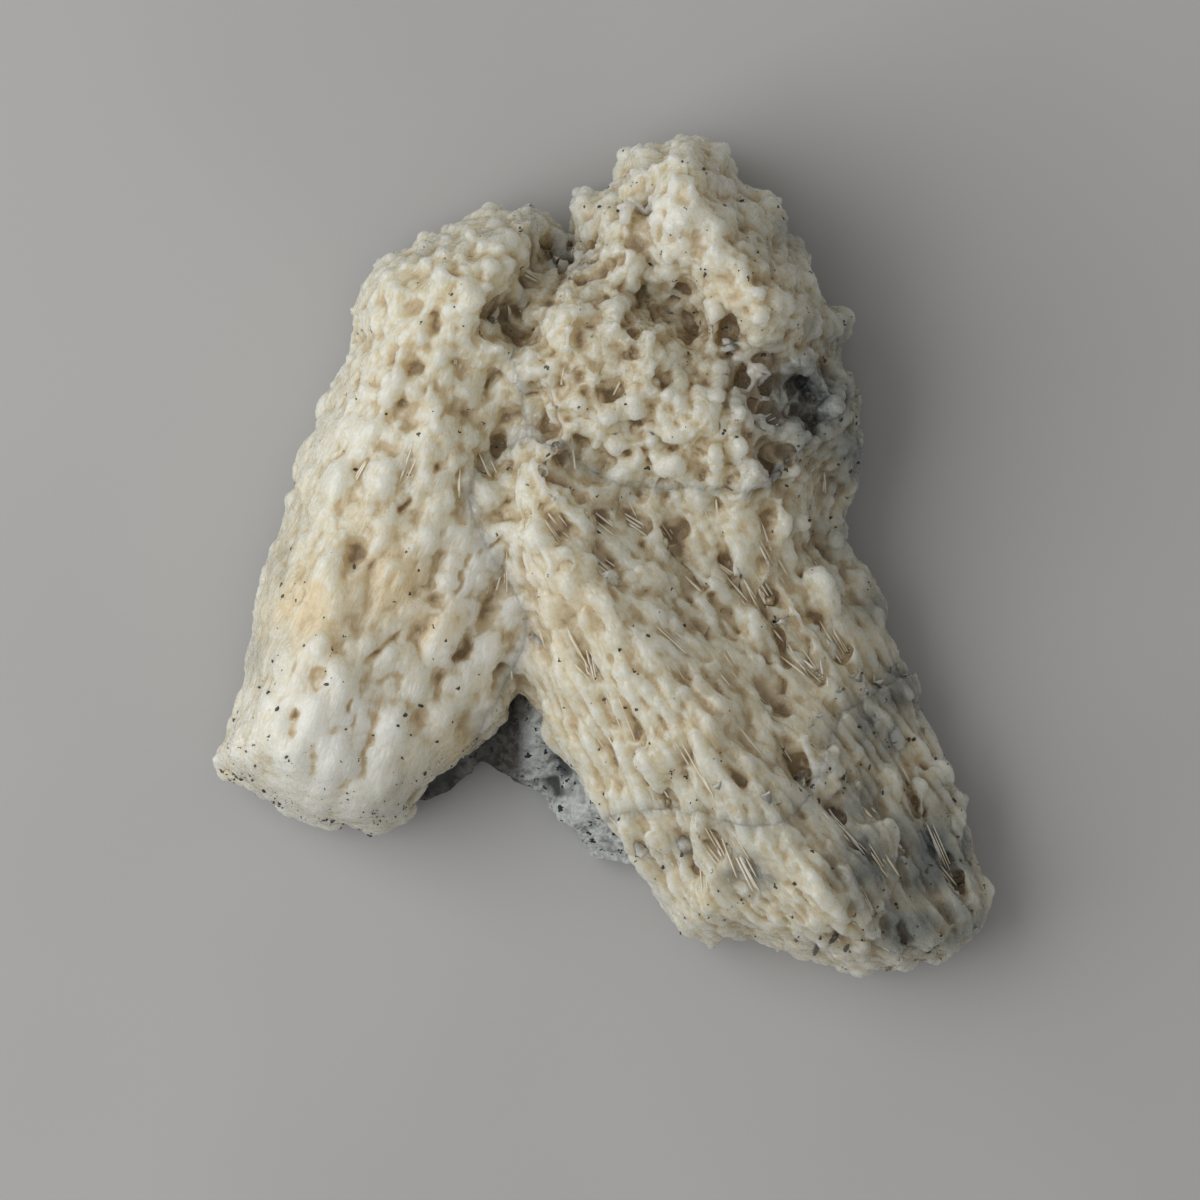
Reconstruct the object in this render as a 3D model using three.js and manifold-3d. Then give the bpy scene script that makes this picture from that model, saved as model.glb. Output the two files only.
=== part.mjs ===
// A hand-sized specimen of calcite on its own rock. Waxy, blunt crystals are fused into one mass
// of two sprays, which part like a tent over a plate of grey rock. The specimen lies on the flat
// back of the rock. X runs to the right, Y up the specimen and Z out of its crystal face.

import * as THREE from "three";
import { mergeVertices } from "three/addons/utils/BufferGeometryUtils.js";
import Module from "manifold-3d";

const wasm = await Module();
wasm.setup();

// Driving dimensions, in millimetres.
const REACH = 62; // half of the square that the whole specimen fits in
const CRUST_PLATE = 24; // height of the crystal mass where nothing swells or sinks it
const CRUST_RIM = 10.5; // height of the crystal mass at its outline
const CRUST_ROLL = 9; // how far in from the outline its rounded edge reaches
const CRUST_FOOT = 3; // lowest level of the crystals that wrap the rim of the rock
const ROCK_PLATE = 13; // height of the rock under the crystals
const ROCK_RIM = 5; // height of the rock at its outline
const ROCK_ROLL = 8; // how far in from the outline the rock slopes
const ROCK_CELL = 9.5; // size of the rock's facets
const CHIP_ACROSS = [7, 11]; // chips knocked off the lower edge of the rock
const CHIP_THICK = [3, 5];
const CHIP_TILT = [-0.5, 0.5]; // in radians
const GAP = 0.4; // left between the crystals and the rock
const PITCH = 6; // spacing of the crystals over the face
const STRAY = [-1.4, 1.4]; // how far a crystal stands off the even spacing
const CRYSTAL_LONG = [4, 6]; // half length of a crystal that lies down
const CRYSTAL_WIDE = [2.5, 3.5]; // half width
const CRYSTAL_RISE = [1.8, 4.2]; // how far it stands out of the mass
const LEAN = 0.3; // how far a crystal's top leans, as a share of its rise
const BULGE = 1.2; // how far the crystals round the rim swell out
const BULGE_PITCH = 7; // spacing of those swellings

// Steps of the crystal mass from the left foot to the right foot, from the notch to the outer
// side, and down its wall.
const AROUND = 100;
const ACROSS = 30;
const DOWN = 3;

const SEED = 11;

// The outline of the crystal mass in four sides. Both long sides run from the left foot to the
// right foot, and both feet from the notch to the outer side.
const NOTCH_SIDE = [
  [-28.5, -39.5], [-27, -36.5], [-23.5, -33], [-19, -29.5], [-13.5, -24], [-11.5, -21],
  [-9, -25.5], [-6.5, -30], [-3, -35], [0.5, -42], [4, -45.5], [7.5, -48], [12.5, -55],
];
const OUTER_SIDE = [
  [-56.5, -30.5], [-54.5, -27], [-52, -19.5], [-51, -11], [-49, -2.5], [-46.5, 2], [-44.5, 11.5],
  [-42.5, 16.5], [-38, 26], [-36, 29.5], [-36, 36.5], [-33.5, 39], [-32.5, 42], [-23.5, 46],
  [-19, 48], [-14.5, 49.5], [-10.5, 49.5], [-7.5, 48], [-5.5, 43], [-3.5, 46], [-4, 50.5],
  [-2.5, 51.5], [2, 51.5], [3.5, 54], [3.5, 58], [5.5, 59], [8.5, 58], [11.5, 60.5], [15, 60],
  [19.5, 55], [21, 52.5], [25.5, 50.5], [26.5, 47], [28.5, 42], [30.5, 41], [30.5, 38],
  [35.5, 33.5], [33, 29.5], [36, 26], [37, 21], [37.5, 16], [36.5, 11.5], [34.5, 6], [35.5, 0],
  [40.5, -6], [41.5, -7], [40.5, -9.5], [43.5, -17.5], [45.5, -20], [45, -22.5], [49, -30.5],
  [50.5, -36], [52.5, -36.5], [52.5, -42.5], [56, -49.5],
];
const LEFT_FOOT = [
  [-28.5, -39.5], [-32, -40.5], [-42, -39.5], [-46, -38], [-52.5, -33.5], [-56.5, -30.5],
];
const RIGHT_FOOT = [
  [12.5, -55], [15.5, -56], [22.5, -55.5], [24, -57], [27.5, -57.5], [33, -59.5], [37, -60.5],
  [44, -60], [49, -59], [53, -56], [56, -52.5], [56, -49.5],
];

// The outline of the crystal mass as one loop.
const CRUST_OUTLINE = [
  ...NOTCH_SIDE.slice(0, -1),
  ...RIGHT_FOOT.slice(0, -1),
  ...OUTER_SIDE.toReversed().slice(0, -1),
  ...LEFT_FOOT.toReversed().slice(0, -1),
];

// The outline of the rock, anticlockwise from the cleft. It shows past the crystals only in the
// notch between the two sprays.
const ROCK_OUTLINE = [
  [-5, 39.5], [-8, 44.5], [-13, 46.5], [-27.5, 41.5], [-32, 38], [-33, 33.5], [-33, 29],
  [-40, 14.5], [-43, 5], [-46, -7], [-48.5, -20], [-52, -30], [-48, -33.5], [-40, -37],
  [-31, -37.5], [-27.5, -36], [-25.5, -36.5], [-21.5, -34.5], [-19, -32.5], [-18.5, -31],
  [-17, -30.5], [-15, -32], [-11, -34.5], [-9, -35.5], [-7.5, -38], [-4.5, -40.5], [-1.5, -44.5],
  [3, -45.5], [9.5, -46.5], [16, -52.5], [23, -52.5], [33, -56.5], [43, -57], [50, -53.5],
  [52.5, -49.5], [48, -38], [42, -22.5], [37.5, -10], [32, 0], [31.5, 7], [34, 14.5],
  [33, 24], [28, 35], [24, 48], [18, 51], [13.5, 56.5], [8, 54.5], [5.5, 48.5], [0, 47.5],
  [-1.5, 43.5],
];

// Ridges and troughs of the crystal face. Each runs from one place to another, raises the face by
// its height and fades out over its reach.
const SWELLS = [
  { from: [8, 56], to: [22, 34], reach: 9, height: 13 }, // crown
  { from: [-8, 33], to: [22, 14], reach: 11, height: 9 }, // knobs over the heart of the face
  { from: [-9, 4], to: [32, -50], reach: 9, height: 9 }, // right spray
  { from: [-20, 32], to: [-42, -24], reach: 13, height: 6 }, // left spray
  { from: [-30, 40], to: [-11, 44], reach: 6, height: 3 }, // shoulder
  { from: [-6, 46], to: [-12, 32], reach: 4, height: -12 }, // cleft
  { from: [9, 36], to: [27, 22], reach: 4, height: -8 }, // trough under the crown
  { from: [-16, 24], to: [-12, -18], reach: 4, height: -4 }, // seam between the sprays
  { from: [34, 8], to: [53, -46], reach: 9, height: -9 }, // flank of the right spray
];

// The way the crystals point at places over the face. Between these places the ways blend.
const GROWTH_REACH = 11;
const GROWTH = [
  { at: [-18, 44], way: [-0.1, 0.7, 0.7] }, // shoulder
  { at: [-34, 30], way: [-0.5, 0.5, 0.7] },
  { at: [-20, 22], way: [0.2, 0.6, 0.75] }, // left spray
  { at: [-34, 0], way: [0.25, 0.85, 0.45] },
  { at: [-22, -14], way: [0.35, 0.85, 0.4] },
  { at: [-44, -26], way: [0.3, 0.9, 0.3] },
  { at: [-2, 28], way: [0, 0.35, 0.95] }, // heart
  { at: [16, 18], way: [0.1, 0.3, 0.95] },
  { at: [0, 46], way: [-0.1, 0.8, 0.6] }, // crown
  { at: [14, 54], way: [0, 0.9, 0.45] },
  { at: [22, 40], way: [0.45, 0.45, 0.75] },
  { at: [32, 24], way: [0.8, 0.1, 0.6] },
  { at: [0, 0], way: [-0.45, 0.75, 0.5] }, // right spray
  { at: [18, -22], way: [-0.5, 0.8, 0.4] },
  { at: [10, -42], way: [-0.5, 0.8, 0.35] },
  { at: [36, -46], way: [-0.5, 0.8, 0.35] },
  { at: [34, -6], way: [-0.2, 0.6, 0.75] },
  { at: [50, -44], way: [-0.2, 0.7, 0.6] },
];

// Crystals that stand out by themselves: the place of each, its half length, its half width and
// how far it rises.
const LONE_CRYSTALS = [
  { at: [11, 56], long: 4.5, wide: 3, rise: 5 }, // peak of the crown
  { at: [1, 48.5], long: 4.5, wide: 1.6, rise: 5 }, // slim fingers by the cleft
  { at: [4, 47], long: 4.5, wide: 1.8, rise: 5 },
  { at: [-2.5, 48], long: 4, wide: 2.4, rise: 4 },
  { at: [-7.5, 44.5], long: 4.5, wide: 2.2, rise: 5 }, // blade on the other side of it
  { at: [33, 33], long: 3.5, wide: 2.2, rise: 4 }, // beak on the right
  { at: [34, 18], long: 5, wide: 4, rise: 4.5 },
  { at: [40, -42], long: 5.5, wide: 2.4, rise: 4.5 }, // grain lying on the flank
  { at: [7, 31], long: 3, wide: 2.6, rise: 6 }, // bright knob of the heart
  { at: [24, 23], long: 4.6, wide: 4, rise: 6 },
  { at: [16, 29], long: 4, wide: 2.6, rise: 5 },
  { at: [29, -28], long: 3.4, wide: 3, rise: 4 }, // bunch of buds on the right spray
];

// A small repeatable source of numbers from 0 to 1.
let state = SEED;
function chance() {
  state = (state + 0x6d2b79f5) | 0;
  let t = Math.imul(state ^ (state >>> 15), 1 | state);
  t = (t + Math.imul(t ^ (t >>> 7), 61 | t)) ^ t;
  return ((t ^ (t >>> 14)) >>> 0) / 2 ** 32;
}

function between([low, high]) {
  return low + (high - low) * chance();
}

function distanceToSegment(x, y, [ax, ay], [bx, by]) {
  const dx = bx - ax;
  const dy = by - ay;
  const share = THREE.MathUtils.clamp(((x - ax) * dx + (y - ay) * dy) / (dx * dx + dy * dy), 0, 1);
  return Math.hypot(x - ax - share * dx, y - ay - share * dy);
}

// Distance to an outline, positive inside it.
function depthInside(outline, x, y) {
  let nearest = Infinity;
  let inside = false;
  outline.forEach((a, i) => {
    const b = outline[(i + 1) % outline.length];
    nearest = Math.min(nearest, distanceToSegment(x, y, a, b));
    if (a[1] > y !== b[1] > y && x < ((b[0] - a[0]) * (y - a[1])) / (b[1] - a[1]) + a[0]) {
      inside = !inside;
    }
  });
  return inside ? nearest : -nearest;
}

// The height of the crystal mass without its crystals: a quarter round at the outline, then the
// plate with its ridges and troughs.
function crustHeight(x, y) {
  let top = CRUST_PLATE;
  for (const { from, to, reach, height } of SWELLS) {
    top += height * Math.exp(-((distanceToSegment(x, y, from, to) / reach) ** 2));
  }
  const share = THREE.MathUtils.clamp(depthInside(CRUST_OUTLINE, x, y) / CRUST_ROLL, 0, 1);
  return CRUST_RIM + (top - CRUST_RIM) * Math.sqrt(1 - (1 - share) ** 2);
}

// The way the crystals point at a place. Far from every named place each of them still counts a
// little, so that there is always an answer.
function growthAt(x, y) {
  const way = new THREE.Vector3();
  for (const place of GROWTH) {
    const distance = Math.hypot(x - place.at[0], y - place.at[1]);
    const weight = Math.exp(-((distance / GROWTH_REACH) ** 2)) + 1e-6;
    way.addScaledVector(new THREE.Vector3(...place.way), weight);
  }
  return way.normalize();
}

// The crystals of the face, on an uneven triangular lattice, with the lone ones after them.
function placeCrystals() {
  const placed = [];
  const rowStep = PITCH * Math.sqrt(0.75);
  for (let row = 0; row * rowStep < 2 * REACH; row++) {
    for (let x = -REACH + (row % 2) * (PITCH / 2); x < REACH; x += PITCH) {
      const at = [x + between(STRAY), row * rowStep - REACH + between(STRAY)];
      const crystal = {
        at,
        long: between(CRYSTAL_LONG),
        wide: between(CRYSTAL_WIDE),
        rise: between(CRYSTAL_RISE),
      };
      if (depthInside(CRUST_OUTLINE, ...at) > 0) placed.push(crystal);
    }
  }
  return [...placed, ...LONE_CRYSTALS].map((crystal) => {
    const way = growthAt(...crystal.at);
    const plan = new THREE.Vector2(way.x, way.y).normalize();
    return { ...crystal, plan, long: THREE.MathUtils.lerp(crystal.long, crystal.wide, way.z) };
  });
}

const CRYSTALS = placeCrystals();

// How far the crystals rise at a place. Each is half an egg, longer the more it lies down, with
// its head a little higher than its tail.
function riseAt(x, y) {
  let rise = 0;
  for (const crystal of CRYSTALS) {
    const offset = new THREE.Vector2(x - crystal.at[0], y - crystal.at[1]);
    const along = offset.dot(crystal.plan) / crystal.long;
    const aside = offset.cross(crystal.plan) / crystal.wide;
    const left = 1 - along * along - aside * aside;
    if (left > 0) rise = Math.max(rise, crystal.rise * Math.sqrt(left) * (0.8 + 0.2 * along));
  }
  return rise;
}

// A line of straight stretches, read by its share of the whole length.
function line(corners) {
  const path = new THREE.CurvePath();
  corners.slice(1).forEach((corner, i) => {
    path.add(new THREE.LineCurve(new THREE.Vector2(...corners[i]), new THREE.Vector2(...corner)));
  });
  return (share) => path.getPoint(share);
}

const notchSide = line(NOTCH_SIDE);
const outerSide = line(OUTER_SIDE);
const leftFoot = line(LEFT_FOOT);
const rightFoot = line(RIGHT_FOOT);

// A place inside the four sides, as a Coons patch: u runs from foot to foot, v out of the notch.
function planAt(u, v) {
  const place = new THREE.Vector2();
  place.addScaledVector(notchSide(u), 1 - v);
  place.addScaledVector(outerSide(u), v);
  place.addScaledVector(leftFoot(v), 1 - u);
  place.addScaledVector(rightFoot(v), u);
  place.addScaledVector(notchSide(0), -(1 - u) * (1 - v));
  place.addScaledVector(outerSide(0), -(1 - u) * v);
  place.addScaledVector(notchSide(1), -u * (1 - v));
  place.addScaledVector(outerSide(1), -u * v);
  return place;
}

// A point of the crystal face: the mass, and the crystals on it leaning the way they grow. At the
// outline nothing leans.
function facePoint({ x, y }) {
  const rise = riseAt(x, y);
  const way = growthAt(x, y);
  const lean = LEAN * rise * THREE.MathUtils.smoothstep(depthInside(CRUST_OUTLINE, x, y), 0.5, 5);
  return new THREE.Vector3(x + way.x * lean, y + way.y * lean, crustHeight(x, y) + rise);
}

// The way out of the crystal mass at a place on its outline, square to the nearest stretch.
function outward({ x, y }) {
  const step = 1;
  const acrossX = depthInside(CRUST_OUTLINE, x - step, y) - depthInside(CRUST_OUTLINE, x + step, y);
  const acrossY = depthInside(CRUST_OUTLINE, x, y - step) - depthInside(CRUST_OUTLINE, x, y + step);
  return new THREE.Vector2(acrossX, acrossY).normalize();
}

// How far the wall swells out at a place on the outline, at a share of its height: most halfway
// up, more and less along the outline.
function bulgeAt({ x, y }, share) {
  const turn = (2 * Math.PI) / BULGE_PITCH;
  return BULGE * Math.sin(Math.PI * share) * (0.6 + 0.4 * Math.sin(turn * x) * Math.sin(turn * y));
}

// The crystal mass: a block whose top is bent into the crystal face and whose walls swell like
// the crystals round the rim. Below, it is cut out to sit over the rock.
function crustBody() {
  const block = new THREE.BoxGeometry(1, 1, 1, AROUND, ACROSS, DOWN);
  block.translate(0.5, 0.5, 0.5);
  const point = new THREE.Vector3();
  const at = block.attributes.position;
  for (let i = 0; i < at.count; i++) {
    point.fromBufferAttribute(at, i);
    const plan = planAt(point.x, point.y);
    const onWall = Math.abs(point.x - 0.5) === 0.5 || Math.abs(point.y - 0.5) === 0.5;
    if (onWall) {
      const top = facePoint(plan).z;
      plan.addScaledVector(outward(plan), bulgeAt(plan, point.z));
      at.setXYZ(i, plan.x, plan.y, THREE.MathUtils.lerp(CRUST_FOOT, top, point.z));
    } else if (point.z === 0) {
      at.setXYZ(i, plan.x, plan.y, CRUST_FOOT);
    } else {
      at.setXYZ(i, ...facePoint(plan));
    }
  }
  return solid(block).subtract(rockPlate(grown(ROCK_OUTLINE, GAP), GAP));
}

// A plate of rock on an outline. Its top slopes to its rim in facets and can be lifted.
function rockPlate(outline, lift) {
  const cells = Math.ceil((2 * REACH) / ROCK_CELL);
  const block = new THREE.BoxGeometry(2 * REACH, 2 * REACH, 2 * ROCK_PLATE, cells, cells, 1);
  const at = block.attributes.position;
  for (let i = 0; i < at.count; i++) {
    const depth = depthInside(ROCK_OUTLINE, at.getX(i), at.getY(i));
    const share = THREE.MathUtils.smoothstep(depth, 0, ROCK_ROLL);
    if (at.getZ(i) > 0) at.setZ(i, THREE.MathUtils.lerp(ROCK_RIM, ROCK_PLATE, share) + lift);
  }
  return prism(outline, -lift, 2 * ROCK_PLATE).intersect(solid(block));
}

// The rock, with a chip knocked off its lower edge at every third corner.
function rockBody() {
  let body = rockPlate(ROCK_OUTLINE, 0);
  for (let i = 0; i < ROCK_OUTLINE.length; i += 3) {
    const chip = new THREE.BoxGeometry(
      between(CHIP_ACROSS),
      between(CHIP_ACROSS),
      between(CHIP_THICK),
    );
    chip.rotateX(between(CHIP_TILT));
    chip.rotateY(between(CHIP_TILT));
    chip.rotateZ(between([0, Math.PI]));
    const corner = new THREE.Vector2(...ROCK_OUTLINE[i]);
    corner.setLength(corner.length() + CHIP_ACROSS[0] / 2);
    chip.translate(corner.x, corner.y, 0);
    body = body.subtract(solid(chip));
  }
  return body;
}

// An upright prism on an outline.
function prism(outline, low, high) {
  const shape = new THREE.Shape(outline.map(([x, y]) => new THREE.Vector2(x, y)));
  const walls = new THREE.ExtrudeGeometry(shape, { depth: high - low, bevelEnabled: false });
  walls.translate(0, 0, low);
  return solid(walls);
}

// An anticlockwise outline moved outward, each corner square to the line between its neighbours.
function grown(outline, by) {
  return outline.map(([x, y], i) => {
    const [px, py] = outline.at(i - 1);
    const [nx, ny] = outline[(i + 1) % outline.length];
    const run = Math.hypot(nx - px, ny - py);
    return [x + (by * (ny - py)) / run, y - (by * (nx - px)) / run];
  });
}

// A three.js geometry as a solid that can be joined and cut.
function solid(geometry) {
  const bare = geometry.clone();
  bare.deleteAttribute("normal");
  bare.deleteAttribute("uv");
  const merged = mergeVertices(bare, 1e-4);
  const vertProperties = merged.attributes.position.array;
  const triVerts = new Uint32Array(merged.index.array);
  return new wasm.Manifold(new wasm.Mesh({ numProp: 3, vertProperties, triVerts }));
}

function named(name, body, look) {
  const made = body.getMesh();
  const geometry = new THREE.BufferGeometry();
  geometry.setAttribute("position", new THREE.BufferAttribute(made.vertProperties, 3));
  geometry.setIndex(new THREE.BufferAttribute(made.triVerts, 1));
  geometry.computeVertexNormals();
  const mesh = new THREE.Mesh(geometry, new THREE.MeshStandardMaterial(look));
  mesh.name = name;
  return mesh;
}

const specimen = new THREE.Group();
specimen.add(
  named("calcite", crustBody(), { color: 0xd8cfbb, roughness: 0.35, flatShading: true }),
  named("rock", rockBody(), { color: 0x6c7275, roughness: 0.8, flatShading: true }),
);

export default specimen;
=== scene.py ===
"""A hand-sized calcite specimen: waxy crystals fused into two sprays over a plate of grey rock.

The crystals are eggs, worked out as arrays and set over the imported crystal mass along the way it
grows. A voxel remesh fuses them into four bodies, which round knobs, long ridges and grooves then
roughen. Fibres, dark grains with a few streaks of metal, and the rock's skin are meshes of their
own. Sizes are in millimetres, and turn into metres where a mesh is made.
"""

import itertools
import math

import bpy
import numpy as np
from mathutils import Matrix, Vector


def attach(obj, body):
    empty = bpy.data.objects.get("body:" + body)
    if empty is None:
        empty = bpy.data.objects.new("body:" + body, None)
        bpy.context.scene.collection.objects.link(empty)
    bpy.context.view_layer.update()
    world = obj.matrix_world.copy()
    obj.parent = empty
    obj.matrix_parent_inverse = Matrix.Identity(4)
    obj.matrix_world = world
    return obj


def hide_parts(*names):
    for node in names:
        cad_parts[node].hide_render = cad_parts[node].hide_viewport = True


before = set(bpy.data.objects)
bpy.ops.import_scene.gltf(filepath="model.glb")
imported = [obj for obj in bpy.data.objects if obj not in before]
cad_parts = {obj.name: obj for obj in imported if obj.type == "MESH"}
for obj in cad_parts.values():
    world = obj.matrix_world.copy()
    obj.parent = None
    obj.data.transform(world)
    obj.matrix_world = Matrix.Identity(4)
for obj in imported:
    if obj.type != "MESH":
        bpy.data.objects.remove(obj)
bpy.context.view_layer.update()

MM = 0.001
SEED = 7

# The camera looks straight down on the crystal face. The photograph's middle lies over this place
# of the plan, and it shows this width at the level of the crystals' edge.
PHOTO_MIDDLE = np.array([-0.2, -7.0])
PHOTO_WIDTH = 174.0
PHOTO_PIXELS = 1200
PIXEL = PHOTO_WIDTH / PHOTO_PIXELS
PIXELS_RUN = np.array([1, -1])  # they count to the right and down
EDGE_LEVEL = 15.0
CAMERA_HEIGHT = 1400.0
SENSOR = 36.0

# How the crystals grow at places over the face, in plan. Between these places everything blends.
# way: where the heads point. long and thick: length and half width of a crystal. sunk: how deep
# its line lies under the face. proud: how far over the face it stands before it is pressed back.
# inset: how far the mass under the crystals shrinks. apart: spacing. buds: how many small knobs
# sit on each. stray: how much the crystals stray from the way. knobs: how strongly round lumps
# roughen them. fine: how strongly long ridges roughen them, and how many fibres show. specks: how
# many dark grains lie on them.
ZONE_REACH = 9.0  # how far from its place a zone counts
ZONE_FIELDS = (
    "part", "at", "way", "long", "thick", "sunk", "proud", "inset", "apart", "buds", "stray", "knobs",
    "fine", "specks",
)
ZONES = [
    dict(zip(ZONE_FIELDS, row))
    for row in (
        ("shoulder", (-18, 44), (-0.1, 0.6, 0.8), 6, 1.4, 1.1, 0.7, 0.4, 2.6, 2, 0.25, 0.7, 0.15, 0.7),
        ("shoulder", (-31, 36), (-0.4, 0.5, 0.7), 6, 1.4, 1.3, 0.5, 0.3, 2.6, 1.5, 0.2, 0.4, 0.15, 0.3),
        ("shoulder", (-22, 26), (0.2, 0.6, 0.7), 7, 1.5, 1.4, 0.4, 0.5, 2.6, 1, 0.15, 0.35, 0.25, 0.1),
        ("left", (-34, 6), (0.3, 0.85, 0.35), 7, 1.6, 1.9, 0.1, 0.0, 2.5, 0.4, 0.08, 0.4, 0.25, 0.1),
        ("left", (-22, -6), (0.4, 0.8, 0.4), 7, 1.6, 1.7, 0.2, 0.1, 2.5, 0.6, 0.1, 0.35, 0.35, 0.1),
        ("left", (-47, -4), (0.2, 0.9, 0.35), 7, 1.6, 1.9, 0.1, 0.0, 2.5, 0.4, 0.08, 0.3, 0.1, 0.8),
        ("left_foot", (-42, -24), (0.35, 0.9, 0.25), 8, 1.7, 1.9, 0.0, 0.2, 2.5, 0.2, 0.06, 0.28, 0.2, 0.2),
        ("left_foot", (-42, -37), (0.35, 0.9, 0.25), 6, 1.6, 1.9, 0.0, 0.2, 2.5, 0.1, 0.05, 0.03, 0.05, 9.0),
        ("heart", (-4, 30), (0.1, 0.3, 0.95), 6, 1.7, 1.1, 1.0, 0.3, 2.7, 2.5, 0.35, 1.0, 0.15, 0.2),
        ("heart", (8, 18), (0.0, 0.2, 0.95), 6, 1.7, 1.1, 1.0, 0.3, 2.7, 2.5, 0.4, 1.0, 0.2, 0.3),
        ("heart", (22, 20), (0.15, 0.3, 0.9), 6, 1.7, 1.1, 1.0, 0.3, 2.8, 2.5, 0.35, 1.0, 0.15, 0.6),
        ("crown", (-1, 46), (-0.1, 0.75, 0.6), 7, 1.3, 0.8, 1.0, 0.7, 2.8, 2, 0.2, 0.8, 0.1, 0.6),
        ("crown", (13, 50), (0.1, 0.6, 0.75), 6, 1.6, 1.5, 0.4, 0.2, 2.6, 1, 0.15, 0.6, 0.05, 1.0),
        ("crown", (24, 38), (0.35, 0.4, 0.8), 6, 1.6, 1.3, 0.6, 0.3, 2.6, 1.5, 0.2, 0.8, 0.1, 1.0),
        ("right", (-8, 2), (-0.4, 0.7, 0.5), 8, 1.6, 1.4, 0.4, 0.3, 2.6, 1.2, 0.12, 0.6, 0.4, 0.2),
        ("right", (10, 0), (-0.45, 0.75, 0.45), 10, 1.5, 1.3, 0.5, 0.2, 2.7, 0.5, 0.08, 0.35, 0.9, 0.2),
        ("right", (28, -10), (-0.5, 0.8, 0.35), 11, 1.3, 1.2, 0.4, 0.25, 2.6, 0.4, 0.07, 0.2, 1.1, 0.4),
        ("right", (34, 8), (0.2, 0.5, 0.75), 7, 1.5, 1.2, 0.7, 0.25, 2.6, 1.5, 0.25, 0.8, 0.3, 0.7),
        ("middle", (2, -20), (-0.5, 0.8, 0.35), 10, 1.6, 1.4, 0.3, 0.2, 2.6, 0.4, 0.07, 0.25, 0.9, 0.5),
        ("middle", (20, -30), (-0.5, 0.8, 0.3), 11, 1.6, 1.4, 0.4, 0.2, 2.6, 0.4, 0.06, 0.25, 1.0, 0.8),
        ("foot", (16, -48), (-0.5, 0.8, 0.3), 11, 1.4, 1.3, 0.2, 0.3, 2.4, 0.3, 0.05, 0.2, 1.0, 0.6),
        ("foot", (33, -50), (-0.5, 0.8, 0.3), 11, 1.5, 1.3, 0.2, 0.5, 2.4, 0.3, 0.05, 0.2, 0.9, 0.8),
        ("foot", (42, -36), (-0.5, 0.8, 0.3), 12, 1.1, 1.1, 0.2, 0.6, 2.2, 0.3, 0.05, 0.15, 1.2, 1.0),
        ("foot", (50, -50), (-0.5, 0.8, 0.3), 12, 1.1, 1.2, 0.0, 0.7, 2.2, 0.1, 0.04, 0.1, 1.0, 1.5),
    )
]
ZONE_PLACES = np.array([zone["at"] for zone in ZONES], float)
# The main way of growth in each part.
PART_WAYS = {
    "shoulder": (0.0, 0.6, 0.75),
    "left": (0.32, 0.85, 0.35),
    "left_foot": (0.35, 0.9, 0.25),
    "heart": (0.05, 0.25, 0.95),
    "crown": (0.15, 0.55, 0.8),
    "right": (-0.45, 0.78, 0.4),
    "middle": (-0.5, 0.8, 0.33),
    "foot": (-0.5, 0.8, 0.3),
}
PARTS = tuple(PART_WAYS)
# The bodies that the crystals are fused into: the parts in each, the first giving its main way.
BODIES = {
    "left_spray": ("left", "left_foot", "shoulder"),
    "head": ("heart", "crown"),
    "right_spray": ("right", "middle"),
    "right_foot": ("foot",),
}
# How far the relief of each part is drawn out along its way: 0 is not at all.
DRAWN_OUT = {
    "shoulder": 0.4, "left": 0.7, "left_foot": 0.75, "heart": 0.0, "crown": 0.4, "right": 0.85,
    "middle": 0.87, "foot": 0.9,
}
# How soft the fused skin of each part is: the share that its evened skin has in it.
SOFTENED = {
    "shoulder": 0.8, "left": 1.0, "left_foot": 1.0, "heart": 0.5, "crown": 0.8, "right": 0.5,
    "middle": 0.5, "foot": 0.5,
}

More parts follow.
